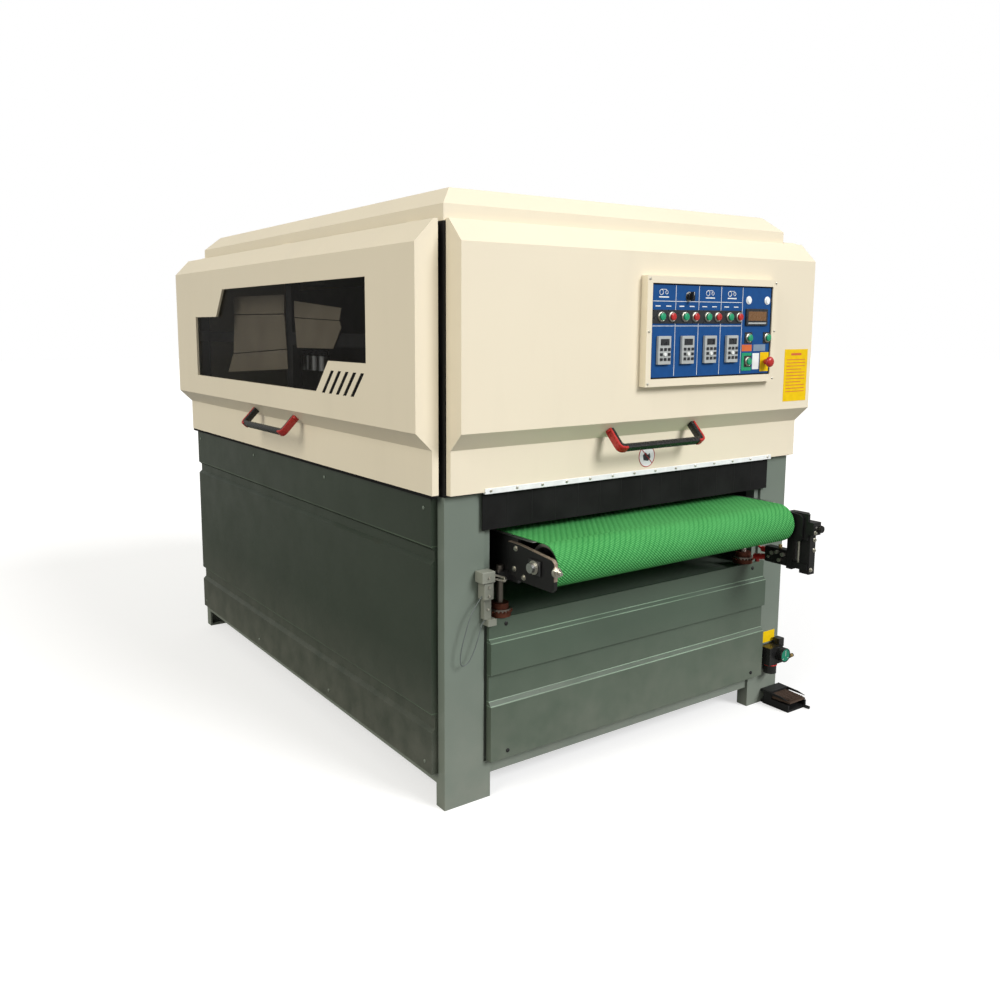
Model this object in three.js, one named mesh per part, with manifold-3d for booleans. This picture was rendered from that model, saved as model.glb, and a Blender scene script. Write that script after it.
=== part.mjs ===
// A floor-standing two-head wide-belt sander, built as separate sub-parts.
// Millimetres, +Z up. X runs across the infeed side, +Y is the feed direction.
// The origin is on the floor, under the middle of the machine.
import * as THREE from "three";
import { mergeVertices } from "three/addons/utils/BufferGeometryUtils.js";
import Module from "manifold-3d";

const wasm = await Module();
wasm.setup();

// ---------------------------------------------------------------- driving dimensions

const halfWidth = 845;             // body, floor to roof, measured to the post faces
const halfDepth = 1160;
const reach = 1484;                // furthest point in front of and behind the middle
const gap = 0.4;                   // clearance between pieces that touch on the real machine

const baseTop = 1045;              // lower frame height
const postWidth = 183;
const postDepth = 50;
const plateThickness = 8;
const railBottom = 80;             // underside of the bottom rails, also fork-lift clearance
const railTop = 135;
const footPlate = 10;

const doorTop = 1898;
const doorBottom = 1053;
const doorSkin = 10;
const faceTop = 1827;              // the proud face of a door lies between two chamfers
const faceBottom = 1252;
const bandTop = 1195;
const faceDepth = 83;              // how far the proud face stands off the body
const bandDepth = 24;
const topDepth = 15;
const frontDoorPlane = -halfDepth - 1;
const sideDoorPlane = -halfWidth - 13;   // the side doors hang clear of the posts

const roofTop = 2000;
const roofWallTop = 1943;
const roofFlange = 1892;
const roofChamfer = 60;
const roofSkin = 4;

const tableTop = 900;              // upper face of the conveyor belt at rest
const beltThickness = 3;
const beltHalfWidth = 582;
const conveyorRadius = 72.5;       // outside of the belt, round an end roller
const conveyorAxisY = 1332;
const conveyorAxisZ = tableTop - conveyorRadius;
const sideRailX = 590;             // table side rails run just outside the belt
const sideRailThickness = 12;

const deckTop = 606;               // sheet deck over the lower bay, which carries the jacks
const jackX = 616;
const jackY = 1145;
const screwRadius = 12.5;
const screwTop = 795;
const sprocketRadius = 38;
const sprocketBottom = 624;
const sprocketTop = 668;
const liftNutBottom = 748;
const liftNutTop = 778;

const nipHeight = 930;             // lowest point of the sanding drums
const bearingPlateX = 640;         // inner face of the plates that carry the heads
const bearingPlateThickness = 25;
const drumHalfLength = 600;

const headPositions = [-430, 230];
const drumRadii = [120, 110];
const tensionRadius = 80;
const tensionHeight = 1640;
const abrasiveThickness = 2;
const abrasiveSlack = 1.2;         // keeps the faceted belt clear of the faceted drum
const abrasiveHalfWidth = 590;
const pressurePositions = [-760, -90];
const pressureRadius = 40;
const brushPosition = 640;
const brushRadius = 100;

// ---------------------------------------------------------------- materials

const cream = [0xe9dfc6, 0.45, 0.0];
const greyGreen = [0x66766c, 0.5, 0.0];
const blackPaint = [0x17181a, 0.5, 0.0];
const steel = [0xa9acae, 0.35, 1.0];
const darkSteel = [0x3b3d40, 0.45, 0.9];
const blackRubber = [0x121212, 0.85, 0.0];
const beltGreen = [0x2f9d49, 0.8, 0.0];
const abrasiveBrown = [0x6f3d26, 0.95, 0.0];
const aluminium = [0xc3c6c8, 0.4, 1.0];
const panelBlue = [0x0f4ea0, 0.45, 0.0];
const smokedAcrylic = [0x2b2622, 0.1, 0.0];
const signalGreen = [0x12a052, 0.35, 0.0];
const signalRed = [0xc8201c, 0.35, 0.0];
const motorGrey = [0x5a6268, 0.5, 0.0];
const bristle = [0x8c7445, 0.9, 0.0];
const galvanised = [0xb4b8ba, 0.5, 0.8];
const chainBrown = [0x5c4238, 0.6, 0.6];

// ---------------------------------------------------------------- solid helpers

function solidFrom(geometry) {
  const bare = geometry.clone();
  bare.deleteAttribute("normal");
  bare.deleteAttribute("uv");
  const merged = mergeVertices(bare, 1e-4);
  return new wasm.Manifold(new wasm.Mesh({
    numProp: 3,
    vertProperties: new Float32Array(merged.attributes.position.array),
    triVerts: new Uint32Array(merged.index.array),
  }));
}

function box(xRange, yRange, zRange) {
  const [x0, x1] = xRange;
  const [y0, y1] = yRange;
  const [z0, z1] = zRange;
  const geometry = new THREE.BoxGeometry(x1 - x0, y1 - y0, z1 - z0);
  geometry.translate((x0 + x1) / 2, (y0 + y1) / 2, (z0 + z1) / 2);
  return solidFrom(geometry);
}

function union(solids) {
  return solids.reduce((sum, solid) => sum.add(solid));
}

function subtract(solid, cutters) {
  return cutters.reduce((rest, cutter) => rest.subtract(cutter), solid);
}

function mirrorX(solid) {
  return solid.mirror([1, 0, 0]);
}

function mirrorY(solid) {
  return solid.mirror([0, 1, 0]);
}

// An outline of [a, b] points, extruded from one place to another along an axis.
// Along X the outline is read as (y, z), along Y as (x, z), along Z as (x, y).
function prism(outline, axis, from, to) {
  const shape = new THREE.Shape(outline.map(([a, b]) => new THREE.Vector2(a, b)));
  const geometry = new THREE.ExtrudeGeometry(shape, { depth: to - from, bevelEnabled: false });
  const basis = new THREE.Matrix4();
  if (axis === "x") {
    basis.set(0, 0, 1, from, 1, 0, 0, 0, 0, 1, 0, 0, 0, 0, 0, 1);
  } else if (axis === "y") {
    basis.set(1, 0, 0, 0, 0, 0, -1, to, 0, 1, 0, 0, 0, 0, 0, 1);
  } else {
    basis.makeTranslation(0, 0, from);
  }
  geometry.applyMatrix4(basis);
  return solidFrom(geometry);
}

// A cylinder along an axis; centre gives its other two coordinates in x, y, z order.
function cylinder(axis, radius, from, to, centre, segments = 28) {
  const geometry = new THREE.CylinderGeometry(radius, radius, to - from, segments);
  const middle = (from + to) / 2;
  if (axis === "x") {
    geometry.rotateZ(Math.PI / 2);
    geometry.translate(middle, centre[0], centre[1]);
  } else if (axis === "y") {
    geometry.translate(centre[0], middle, centre[1]);
  } else {
    geometry.rotateX(Math.PI / 2);
    geometry.translate(centre[0], centre[1], middle);
  }
  return solidFrom(geometry);
}

// A solid of revolution about an X-parallel axis, from (along, radius) points
// that start and end on the axis.
function turnedAboutX(profile, axisY, axisZ, segments) {
  const points = profile.map(([along, radius]) => new THREE.Vector2(radius, along));
  const geometry = new THREE.LatheGeometry(points, segments);
  geometry.rotateZ(-Math.PI / 2);
  geometry.translate(0, axisY, axisZ);
  return solidFrom(geometry);
}

// ---------------------------------------------------------------- assembly

const machine = new THREE.Group();
machine.name = "wide_belt_sander";

function addPart(name, solid, [color, roughness, metalness]) {
  const data = solid.asOriginal().simplify(0.01).getMesh();
  const geometry = new THREE.BufferGeometry();
  geometry.setAttribute("position", new THREE.Float32BufferAttribute(data.vertProperties, 3));
  geometry.setIndex(new THREE.Uint32BufferAttribute(data.triVerts, 1));
  const flat = geometry.toNonIndexed();
  flat.computeVertexNormals();
  const material = new THREE.MeshStandardMaterial({ color, roughness, metalness });
  const mesh = new THREE.Mesh(flat, material);
  mesh.name = name;
  machine.add(mesh);
}

// ---------------------------------------------------------------- lower frame

// Front-left corner post: a folded channel with a set-back inner strip and a foot plate.
function cornerPost() {
  const outer = -halfWidth;
  const inner = -halfWidth + postWidth;
  const faceEnd = inner - 28;
  const front = -halfDepth;
  const back = front + postDepth;
  const t = plateThickness;
  const stripFront = front + 10;
  return union([
    box([outer, faceEnd], [front, front + t], [0, baseTop]),
    box([outer, outer + t], [front, back], [0, baseTop]),
    box([faceEnd - t, faceEnd], [front, stripFront + t], [0, baseTop]),
    box([faceEnd - t, inner], [stripFront, stripFront + t], [0, baseTop]),
    box([inner - t, inner], [stripFront, back], [0, baseTop]),
    box([faceEnd - t, inner], [front, stripFront + t], [0, railTop - 5]),
    box([outer, inner], [front, back], [0, footPlate]),
  ]);
}

// Front cross rails: the bottom rail and the beam that carries the two front jacks.
function frontRails() {
  const t = plateThickness;
  const end = halfWidth - postWidth + 1;
  const front = -halfDepth + 10;
  return union([
    box([-end, end], [front, front + t], [railBottom, railTop]),
    box([-end, end], [front, front + postDepth], [railBottom, railBottom + t]),
    box([-halfWidth, halfWidth], [front + 30, front + 30 + t], [540, deckTop]),
    box([-end, end], [front - t, front + 60], [deckTop - t, deckTop]),
  ]);
}

function sideRails() {
  const t = plateThickness;
  const end = halfDepth - 20;
  return union([
    box([-halfWidth, -halfWidth + t], [-end, end], [railBottom, 180]),
    box([-halfWidth, -halfWidth + 50], [-end, end], [railBottom, railBottom + t]),
    box([-halfWidth, -halfWidth + t], [-end, end], [540, deckTop]),
    box([-halfWidth, -halfWidth + t], [-end, end], [945, baseTop]),
    box([-halfWidth, -halfWidth + 14], [-end, end], [baseTop - t, baseTop]),
    box([-halfWidth, -halfWidth + 60], [-30, 30], [railBottom, deckTop]),
  ]);
}

function baseFrame() {
  const corner = cornerPost();
  const frontHalf = union([corner, mirrorX(corner), frontRails()]);
  const side = sideRails();
  const deckThickness = 3;
  const deck = box([-halfWidth + 4, halfWidth - 4], [-1115, 1115], [deckTop - deckThickness, deckTop]);
  return union([frontHalf, mirrorY(frontHalf), side, mirrorX(side), deck]);
}

// ---------------------------------------------------------------- upper frame and heads

// The plate that carries the shafts of both heads, the pressure rollers and the brush.
function bearingPlate() {
  const outline = [
    [-830, 985], [-700, 985], [-700, 955], [-100, 955], [-40, 985], [50, 955],
    [740, 955], [740, 1180], [420, 1260], [380, 1730], [-620, 1730], [-660, 1260], [-830, 1180],
  ];
  const plate = prism(outline, "x", -bearingPlateX - bearingPlateThickness, -bearingPlateX);
  const from = -bearingPlateX - bearingPlateThickness - 5;
  const to = -bearingPlateX + 5;
  const holes = headPositions.flatMap((y, head) => [
    cylinder("x", 34, from, to, [y, nipHeight + drumRadii[head]], 24),
    cylinder("x", 24, from, to, [y, tensionHeight], 24),
  ]);
  for (const y of pressurePositions) {
    holes.push(cylinder("x", 19, from, to, [y, nipHeight + pressureRadius], 20));
  }
  holes.push(cylinder("x", 24, from, to, [brushPosition, nipHeight + brushRadius], 24));
  return subtract(plate, holes);
}

// A channel-section beam welded between the bearing plates, open side down.
function headBeam() {
  const end = bearingPlateX + 1;
  const outer = box([-end, end], [-170, -30], [1300, 1460]);
  return outer.subtract(box([-end - 5, end + 5], [-158, -42], [1295, 1448]));
}

function upperFrame() {
  const bottom = baseTop + gap;
  const top = roofFlange - gap;
  const out = halfWidth - 2;
  const front = halfDepth - 2;
  const rim = 12;
  const corners = [];
  for (const sx of [-1, 1]) {
    for (const sy of [-1, 1]) {
      const xs = [sx * out, sx * (out - 50)].sort((a, b) => a - b);
      const ys = [sy * front, sy * (front - 50)].sort((a, b) => a - b);
      corners.push(box(xs, ys, [bottom, top]));
    }
  }
  const rings = [
    box([-out, -out + rim], [-front, front], [bottom, bottom + 80]),
    box([-out, -out + 45], [-front, front], [top - 45, top]),
    box([-out, -out + 40], [-30, 30], [bottom, top]),
    box([-out, -out + 40], [-front, front], [1500, 1550]),
  ];
  const ends = [
    box([-out, out], [-front, -front + 50], [bottom + 12, bottom + 62]),
    box([-out, out], [-front, -front + 50], [top - 45, top]),
  ];
  const plateFace = -bearingPlateX - bearingPlateThickness + 1;
  const stubs = [
    box([-out, plateFace], [-600, -550], [1500, 1550]),
    box([-out, plateFace], [320, 370], [1500, 1550]),
  ];
  const plate = bearingPlate();
  return union([
    ...corners,
    ...rings,
    ...rings.map(mirrorX),
    ...ends,
    ...ends.map(mirrorY),
    ...stubs,
    ...stubs.map(mirrorX),
    plate,
    mirrorX(plate),
    headBeam(),
  ]);
}

// A roller: a tube on one middle web, with a through shaft.
function roller(radius, halfLength, wall, shaftRadius, shaftHalf, axisY, axisZ, segments = 26) {
  const web = 12;
  const bore = radius - wall;
  const profile = [
    [-shaftHalf, 0], [-shaftHalf, shaftRadius], [-web, shaftRadius], [-web, bore],
    [-halfLength, bore], [-halfLength, radius], [halfLength, radius], [halfLength, bore],
    [web, bore], [web, shaftRadius], [shaftHalf, shaftRadius], [shaftHalf, 0],
  ];
  return turnedAboutX(profile, axisY, axisZ, segments);
}

// The closed outline of a belt round two circles, one above the other or side by side.
function loopOutline(first, second, firstRadius, secondRadius, steps) {
  const dx = second[0] - first[0];
  const dy = second[1] - first[1];
  const distance = Math.hypot(dx, dy);
  const heading = Math.atan2(dy, dx);
  const lean = Math.acos((firstRadius - secondRadius) / distance);
  const points = [];
  for (let i = 0; i <= steps; i += 1) {
    const angle = heading - lean + (2 * lean * i) / steps;
    points.push([
      second[0] + secondRadius * Math.cos(angle),
      second[1] + secondRadius * Math.sin(angle),
    ]);
  }
  for (let i = 0; i <= steps; i += 1) {
    const angle = heading + lean + ((2 * Math.PI - 2 * lean) * i) / steps;
    points.push([
      first[0] + firstRadius * Math.cos(angle),
      first[1] + firstRadius * Math.sin(angle),
    ]);
  }
  return points;
}

function beltLoop(first, second, firstRadius, secondRadius, thickness, halfLength, steps) {
  const outer = loopOutline(first, second, firstRadius + thickness, secondRadius + thickness, steps);
  const inner = loopOutline(first, second, firstRadius, secondRadius, steps);
  const body = prism(outer, "x", -halfLength, halfLength);
  return body.subtract(prism(inner, "x", -halfLength - 5, halfLength + 5));
}

function addHeads() {
  headPositions.forEach((y, head) => {
    const number = head + 1;
    const radius = drumRadii[head] - abrasiveThickness - abrasiveSlack;
    const drumZ = nipHeight + drumRadii[head];
    addPart(`contact_drum_${number}`, roller(radius, drumHalfLength, 22, 30, 662, y, drumZ), steel);
    const upper = roller(tensionRadius, drumHalfLength, 14, 20, 662, y, tensionHeight);
    addPart(`tension_roller_${number}`, upper, aluminium);
    const loop = beltLoop(
      [y, drumZ], [y, tensionHeight], radius + abrasiveSlack, tensionRadius + abrasiveSlack,
      abrasiveThickness, abrasiveHalfWidth, 18,
    );
    addPart(`abrasive_belt_${number}`, loop, abrasiveBrown);
  });
  const names = ["pressure_roller_infeed", "pressure_roller_middle"];
  pressurePositions.forEach((y, i) => {
    const z = nipHeight + pressureRadius;
    addPart(names[i], roller(pressureRadius, drumHalfLength, 9, 15, 662, y, z, 20), blackRubber);
  });
  const brushZ = nipHeight + brushRadius;
  addPart("brush_roller", roller(brushRadius, drumHalfLength, 30, 20, 662, brushPosition, brushZ), bristle);
}

// A flange motor on the right-hand bearing plate, with a fan cowl and a terminal box.
function flangeMotor(radius, axisY, axisZ) {
  const flange = bearingPlateX + bearingPlateThickness + gap;
  const end = halfWidth - 18;
  const body = union([
    cylinder("x", radius + 12, flange, flange + 14, [axisY, axisZ], 24),
    cylinder("x", radius, flange, end - 40, [axisY, axisZ], 24),
    cylinder("x", radius - 6, flange, end, [axisY, axisZ], 24),
    box([flange + 30, flange + 100], [axisY - 38, axisY + 38], [axisZ + 20, axisZ + radius + 34]),
  ]);
  return body;
}

function addMotors() {
  headPositions.forEach((y, head) => {
    const motor = flangeMotor(92, y, nipHeight + drumRadii[head]);
    addPart(`belt_motor_${head + 1}`, motor, motorGrey);
  });
  addPart("brush_motor", flangeMotor(58, brushPosition, nipHeight + brushRadius), motorGrey);
}

// ---------------------------------------------------------------- roof and dust hood

const roofXRange = [-844, 760];
const roofYRange = [-1158, 992];
const spigotRadius = 75;
const spigotPositions = [[-330, 430], [330, 430]];
const spigotTop = 2095;

function roofPan(inset, wallTop, top) {
  const [x0, x1] = roofXRange;
  const [y0, y1] = roofYRange;
  const c = roofChamfer;
  const walls = box([x0 + inset, x1 - inset], [y0 + inset, y1 - inset], [roofFlange - 1, wallTop]);
  const alongX = [
    [y0 + inset, roofFlange - 1], [y1 - inset, roofFlange - 1], [y1 - inset, wallTop],
    [y1 - c, top], [y0 + c, top], [y0 + inset, wallTop],
  ];
  const alongY = [
    [x0 + inset, roofFlange - 1], [x1 - inset, roofFlange - 1], [x1 - inset, wallTop],
    [x1 - c, top], [x0 + c, top], [x0 + inset, wallTop],
  ];
  const hipped = prism(alongX, "x", x0 + inset, x1 - inset);
  return walls.add(hipped.intersect(prism(alongY, "y", y0 + inset, y1 - inset)));
}

function topCover() {
  const flange = box([-halfWidth, halfWidth], [-halfDepth, halfDepth], [roofFlange, roofFlange + roofSkin]);
  const outer = roofPan(0, roofWallTop, roofTop);
  const inner = roofPan(roofSkin, roofWallTop - 2, roofTop - roofSkin);
  const drop = box(
    [roofXRange[0] + roofSkin, roofXRange[1] - roofSkin],
    [roofYRange[0] + roofSkin, roofYRange[1] - roofSkin],
    [roofFlange - 5, roofFlange + 10],
  );
  const holes = spigotPositions.map((at) => cylinder("z", spigotRadius + 3, 1980, 2010, at, 32));
  const trim = box([-900, 900], [-1200, 1200], [roofFlange - 10, roofFlange]);
  return subtract(flange.add(outer), [inner, drop, trim, ...holes]);
}

// The extraction manifold under the roof: open below, with two round outlets.
function dustHood() {
  const skin = 3;
  const shell = box([-520, 520], [330, 530], [1760, 1880]);
  const outlets = spigotPositions.map((at) => cylinder("z", spigotRadius, 1870, spigotTop, at, 32));
  const bores = spigotPositions.map((at) => cylinder("z", spigotRadius - skin, 1860, spigotTop + 5, at, 32));
  const inside = box([-520 + skin, 520 - skin], [330 + skin, 530 - skin], [1755, 1880 - skin]);
  const barRelief = box([-900, 900], [300, 372], [1690, 1752]);
  return subtract(union([shell, ...outlets]), [inside, barRelief, ...bores]);
}

// ---------------------------------------------------------------- doors and covers

// Outline of a door's section: (distance out from the body, height), skin inset on demand.
function doorOutline(inset) {
  const back = inset > 0 ? -5 : 0;
  return [
    [back, doorTop - inset],
    [topDepth - inset * 0.4, doorTop - inset],
    [faceDepth - inset, faceTop - inset * 0.4],
    [faceDepth - inset, faceBottom + inset * 0.4],
    [bandDepth - inset, bandTop + inset * 0.4],
    [bandDepth - inset, doorBottom + inset],
    [back, doorBottom + inset],
  ];
}

function frontDoor() {
  const plane = frontDoorPlane;
  const [x0, x1] = [-837, 853];
  const outside = doorOutline(0).map(([out, z]) => [plane - out, z]);
  const inside = doorOutline(doorSkin).map(([out, z]) => [plane - out, z]);
  const shell = prism(outside, "x", x0, x1);
  return shell.subtract(prism(inside, "x", x0 + doorSkin, x1 - doorSkin));
}

const sideDoorYRange = [-1149, 1159];
const sideHandleY = 15.5;

function sideDoorShell() {
  const plane = sideDoorPlane;
  const [y0, y1] = sideDoorYRange;
  const outside = doorOutline(0).map(([out, z]) => [plane - out, z]);
  const inside = doorOutline(doorSkin).map(([out, z]) => [plane - out, z]);
  const shell = prism(outside, "y", y0, y1);
  return shell.subtract(prism(inside, "y", y0 + doorSkin, y1 - doorSkin));
}

// The window outline on the left door, as (y, z): clipped at the top rear and lower front.
const windowOutline = [
  [-837, 1737], [497, 1737], [588, 1617], [873, 1617], [873, 1341],
  [-451, 1341], [-555, 1455], [-837, 1455],
];
const louvreCount = 5;
const louvrePitch = 56;
const louvreHalfWidth = 12;
const louvreSlant = 78;   // how far the foot of a slot lies behind its head
const firstLouvreY = -589;
const louvreZRange = [1339, 1422];

function louvreSlots(from, to) {
  const slots = [];
  for (let i = 0; i < louvreCount; i += 1) {
    const head = firstLouvreY - louvrePitch * i;
    const foot = head + louvreSlant;
    const [low, high] = louvreZRange;
    slots.push(prism([
      [head - louvreHalfWidth, high], [head + louvreHalfWidth, high],
      [foot + louvreHalfWidth, low], [foot - louvreHalfWidth, low],
    ], "x", from, to));
  }
  return slots;
}

function leftDoor() {
  const from = sideDoorPlane - faceDepth - 10;
  const to = sideDoorPlane - faceDepth + doorSkin + 10;
  return subtract(sideDoorShell(), [prism(windowOutline, "x", from, to), ...louvreSlots(from, to)]);
}

function doorWindow() {
  const grow = 16;
  const outline = [
    [-837 - grow, 1737 + grow], [497 + grow, 1737 + grow], [588 + grow, 1617 + grow],
    [873 + grow, 1617 + grow], [873 + grow, 1341 - grow], [-451 - grow, 1341 - grow],
    [-555 - grow, 1455 - grow], [-837 - grow, 1455 - grow],
  ];
  const face = sideDoorPlane - faceDepth + doorSkin + gap;
  return prism(outline, "x", face, face + 5);
}

// A bridge handle on the lower chamfer of a door, drawn lying along X on the front door:
// u runs along the handle, v stands off the chamfer, and the section is w deep.
function doorHandle() {
  const half = 215;
  const standOff = 92;
  const bar = 24;
  const leg = 30;
  const round = 26;
  const outline = [];
  const arc = (cu, cv, r, from, to, steps) => {
    for (let i = 0; i <= steps; i += 1) {
      const angle = from + ((to - from) * i) / steps;
      outline.push([cu + r * Math.cos(angle), cv + r * Math.sin(angle)]);
    }
  };
  outline.push([half, 0]);
  arc(half - round, standOff - round, round, 0, Math.PI / 2, 5);
  arc(-half + round, standOff - round, round, Math.PI / 2, Math.PI, 5);
  outline.push([-half, 0], [-half + leg, 0]);
  outline.push([-half + leg, standOff - bar - 8], [-half + leg + 8, standOff - bar]);
  outline.push([half - leg - 8, standOff - bar], [half - leg, standOff - bar - 8], [half - leg, 0]);
  const shape = new THREE.Shape(outline.map(([u, v]) => new THREE.Vector2(u, v)));
  const section = 28;
  const geometry = new THREE.ExtrudeGeometry(shape, { depth: section, bevelEnabled: false });
  geometry.translate(0, 0, -section / 2);
  const chamferMiddleOut = (faceDepth + bandDepth) / 2;
  const chamferMiddleZ = (faceBottom + bandTop) / 2;
  const slope = Math.atan2(faceDepth - bandDepth, faceBottom - bandTop);
  const length = Math.hypot(faceDepth - bandDepth, faceBottom - bandTop);
  const normalOut = (faceBottom - bandTop) / length;
  const normalDown = (faceDepth - bandDepth) / length;
  geometry.rotateX(Math.PI + slope);
  geometry.translate(
    0,
    frontDoorPlane - chamferMiddleOut - normalOut * gap,
    chamferMiddleZ - normalDown * gap,
  );
  return solidFrom(geometry);
}

function sideHandle() {
  const offset = sideDoorPlane - frontDoorPlane;
  return doorHandle().translate([0, offset, 0]).rotate([0, 0, -90]).translate([0, sideHandleY, 0]);
}

// The fixed rear cover: a shallow pan with a folded rim.
function rearCover() {
  const y0 = halfDepth + 1;
  const outer = box([-837, 837], [y0, y0 + 30], [doorBottom, doorTop - 8]);
  return outer.subtract(box([-831, 831], [y0 - 5, y0 + 25], [doorBottom + 6, doorTop - 14]));
}

// Lower side panel: a pressed sheet with two horizontal grooves and folded edges.
function sidePanelOutline(inset) {
  const face = 25 - inset;
  const groove = 11 - inset;
  const back = inset > 0 ? -5 : 0;
  const s = inset * 0.5;
  return [
    [back, 117 + inset], [face, 117 + inset],
    [face, 262 - s], [groove, 274 - s], [groove, 313 + s], [face, 325 + s],
    [face, 826 - s], [groove, 838 - s], [groove, 870 + s], [face, 882 + s],
    [face, 1040 - inset], [back, 1040 - inset],
  ];
}

function sidePanel() {
  const plane = -halfWidth - 1;
  const skin = 5;
  const outside = sidePanelOutline(0).map(([out, z]) => [plane - out, z]);
  const inside = sidePanelOutline(skin).map(([out, z]) => [plane - out, z]);
  const shell = prism(outside, "y", -1122, 1122);
  return shell.subtract(prism(inside, "y", -1122 + skin, 1122 - skin));
}

// Kick panel under the conveyor: alternating proud and set-back bands.
function kickOutline(inset) {
  const proud = 26 - inset;
  const low = 12 - inset;
  const back = inset > 0 ? -5 : 0;
  const s = inset * 0.5;
  return [
    [back, 135 + inset], [proud, 135 + inset], [proud, 325 - s],
    [low, 343 - s], [low, 432 + s], [proud, 436 + s],
    [proud, 543 - s], [low, 557 - s], [low, 622 - inset], [back, 622 - inset],
  ];
}

function kickPanel() {
  const plane = -halfDepth - 1;
  const skin = 5;
  const outside = kickOutline(0).map(([out, z]) => [plane - out, z]);
  const inside = kickOutline(skin).map(([out, z]) => [plane - out, z]);
  const shell = prism(outside, "x", -679, 714);
  return shell.subtract(prism(inside, "x", -679 + skin, 714 - skin));
}

function curtain() {
  return box([-707, 707], [-halfDepth - 13, -halfDepth - 9], [926, doorBottom - gap]);
}

function addCovers() {
  addPart("front_door", frontDoor(), cream);
  addPart("left_door", leftDoor(), cream);
  addPart("right_door", mirrorX(sideDoorShell()), cream);
  addPart("left_door_window", doorWindow(), smokedAcrylic);
  addPart("front_door_handle", doorHandle(), blackPaint);
  addPart("left_door_handle", sideHandle(), blackPaint);
  addPart("right_door_handle", mirrorX(sideHandle()), blackPaint);
  addPart("rear_cover", rearCover(), cream);
  addPart("top_cover", topCover(), cream);
  addPart("left_side_panel", sidePanel(), greyGreen);
  addPart("right_side_panel", mirrorX(sidePanel()), greyGreen);
  addPart("front_kick_panel", kickPanel(), greyGreen);
  addPart("rear_kick_panel", mirrorY(kickPanel()), greyGreen);
  addPart("infeed_curtain", curtain(), blackRubber);
  addPart("outfeed_curtain", mirrorY(curtain()), blackRubber);
}

// ---------------------------------------------------------------- control panel

const doorFace = -halfDepth - 1 - faceDepth;
const plateFront = doorFace - 25;
const plateX = [-73, 561];
const plateZ = [1396, 1722];
const columnWidth = 117;
const buttonRowZ = 1609;
const buttonRadius = 11;
const stemRadius = 5;

function buttonColumns() {
  const places = [];
  for (let i = 0; i < 4; i += 1) {
    const left = plateX[0] + columnWidth * i;
    places.push([left + 46, left + 98]);
  }
  return places;
}

function controlBezel() {
  const outer = box([plateX[0] - 25, plateX[1] + 27], [plateFront - 5, doorFace - gap], [1369, 1747]);
  const inner = box(
    [plateX[0] - gap, plateX[1] + gap],
    [plateFront - 10, doorFace + 5],
    [plateZ[0] - gap, plateZ[1] + gap],
  );
  return outer.subtract(inner);
}

const selectorAt = [110, 1679];
const tableUpAt = [435, 1533];
const tableDownAt = [540, 1533];
const powerAt = [435, 1446];
const estopAt = [531, 1443];

function controlPlate() {
  const plate = box(plateX, [plateFront, plateFront + 4], plateZ);
  const places = buttonColumns().flatMap(([a, b]) => [[a, buttonRowZ], [b, buttonRowZ]]);
  places.push(selectorAt, tableUpAt, tableDownAt, powerAt, estopAt);
  const holes = places.map((at) => (
    cylinder("y", stemRadius + 1, plateFront - 5, plateFront + 9, at, 10)
  ));
  return subtract(plate, holes);
}

function pushButton(at) {
  return union([
    cylinder("y", buttonRadius, plateFront - 14, plateFront - 6, at, 16),
    cylinder("y", stemRadius, plateFront - 8, plateFront + 12, at, 8),
  ]);
}

function selectorKnob() {
  const [x, z] = selectorAt;
  return union([
    cylinder("y", 14, plateFront - 12, plateFront - 1, selectorAt, 24),
    box([x - 4, x + 4], [plateFront - 24, plateFront - 10], [z - 17, z + 17]),
    cylinder("y", stemRadius, plateFront - 8, plateFront + 12, selectorAt, 16),
  ]);
}

function emergencyStop() {
  return union([
    cylinder("y", 20, plateFront - 34, plateFront - 22, estopAt, 28),
    cylinder("y", 15, plateFront - 38, plateFront - 30, estopAt, 28),
    cylinder("y", 11, plateFront - 24, plateFront - 7, estopAt, 20),
    cylinder("y", stemRadius, plateFront - 10, plateFront + 12, estopAt, 16),
  ]);
}

function addControls() {
  addPart("control_bezel", controlBezel(), cream);
  addPart("control_plate", controlPlate(), panelBlue);
  addPart("selector_knob", selectorKnob(), blackPaint);
  buttonColumns().forEach(([start, stop], i) => {
    addPart(`start_button_${i + 1}`, pushButton([start, buttonRowZ]), signalGreen);
    addPart(`stop_button_${i + 1}`, pushButton([stop, buttonRowZ]), signalRed);
  });
  addPart("table_up_button", pushButton(tableUpAt), signalGreen);
  addPart("table_down_button", pushButton(tableDownAt), signalGreen);
  addPart("power_button", pushButton(powerAt), signalGreen);
  addPart("estop_button", emergencyStop(), signalRed);
}

// ---------------------------------------------------------------- conveyor table

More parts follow.
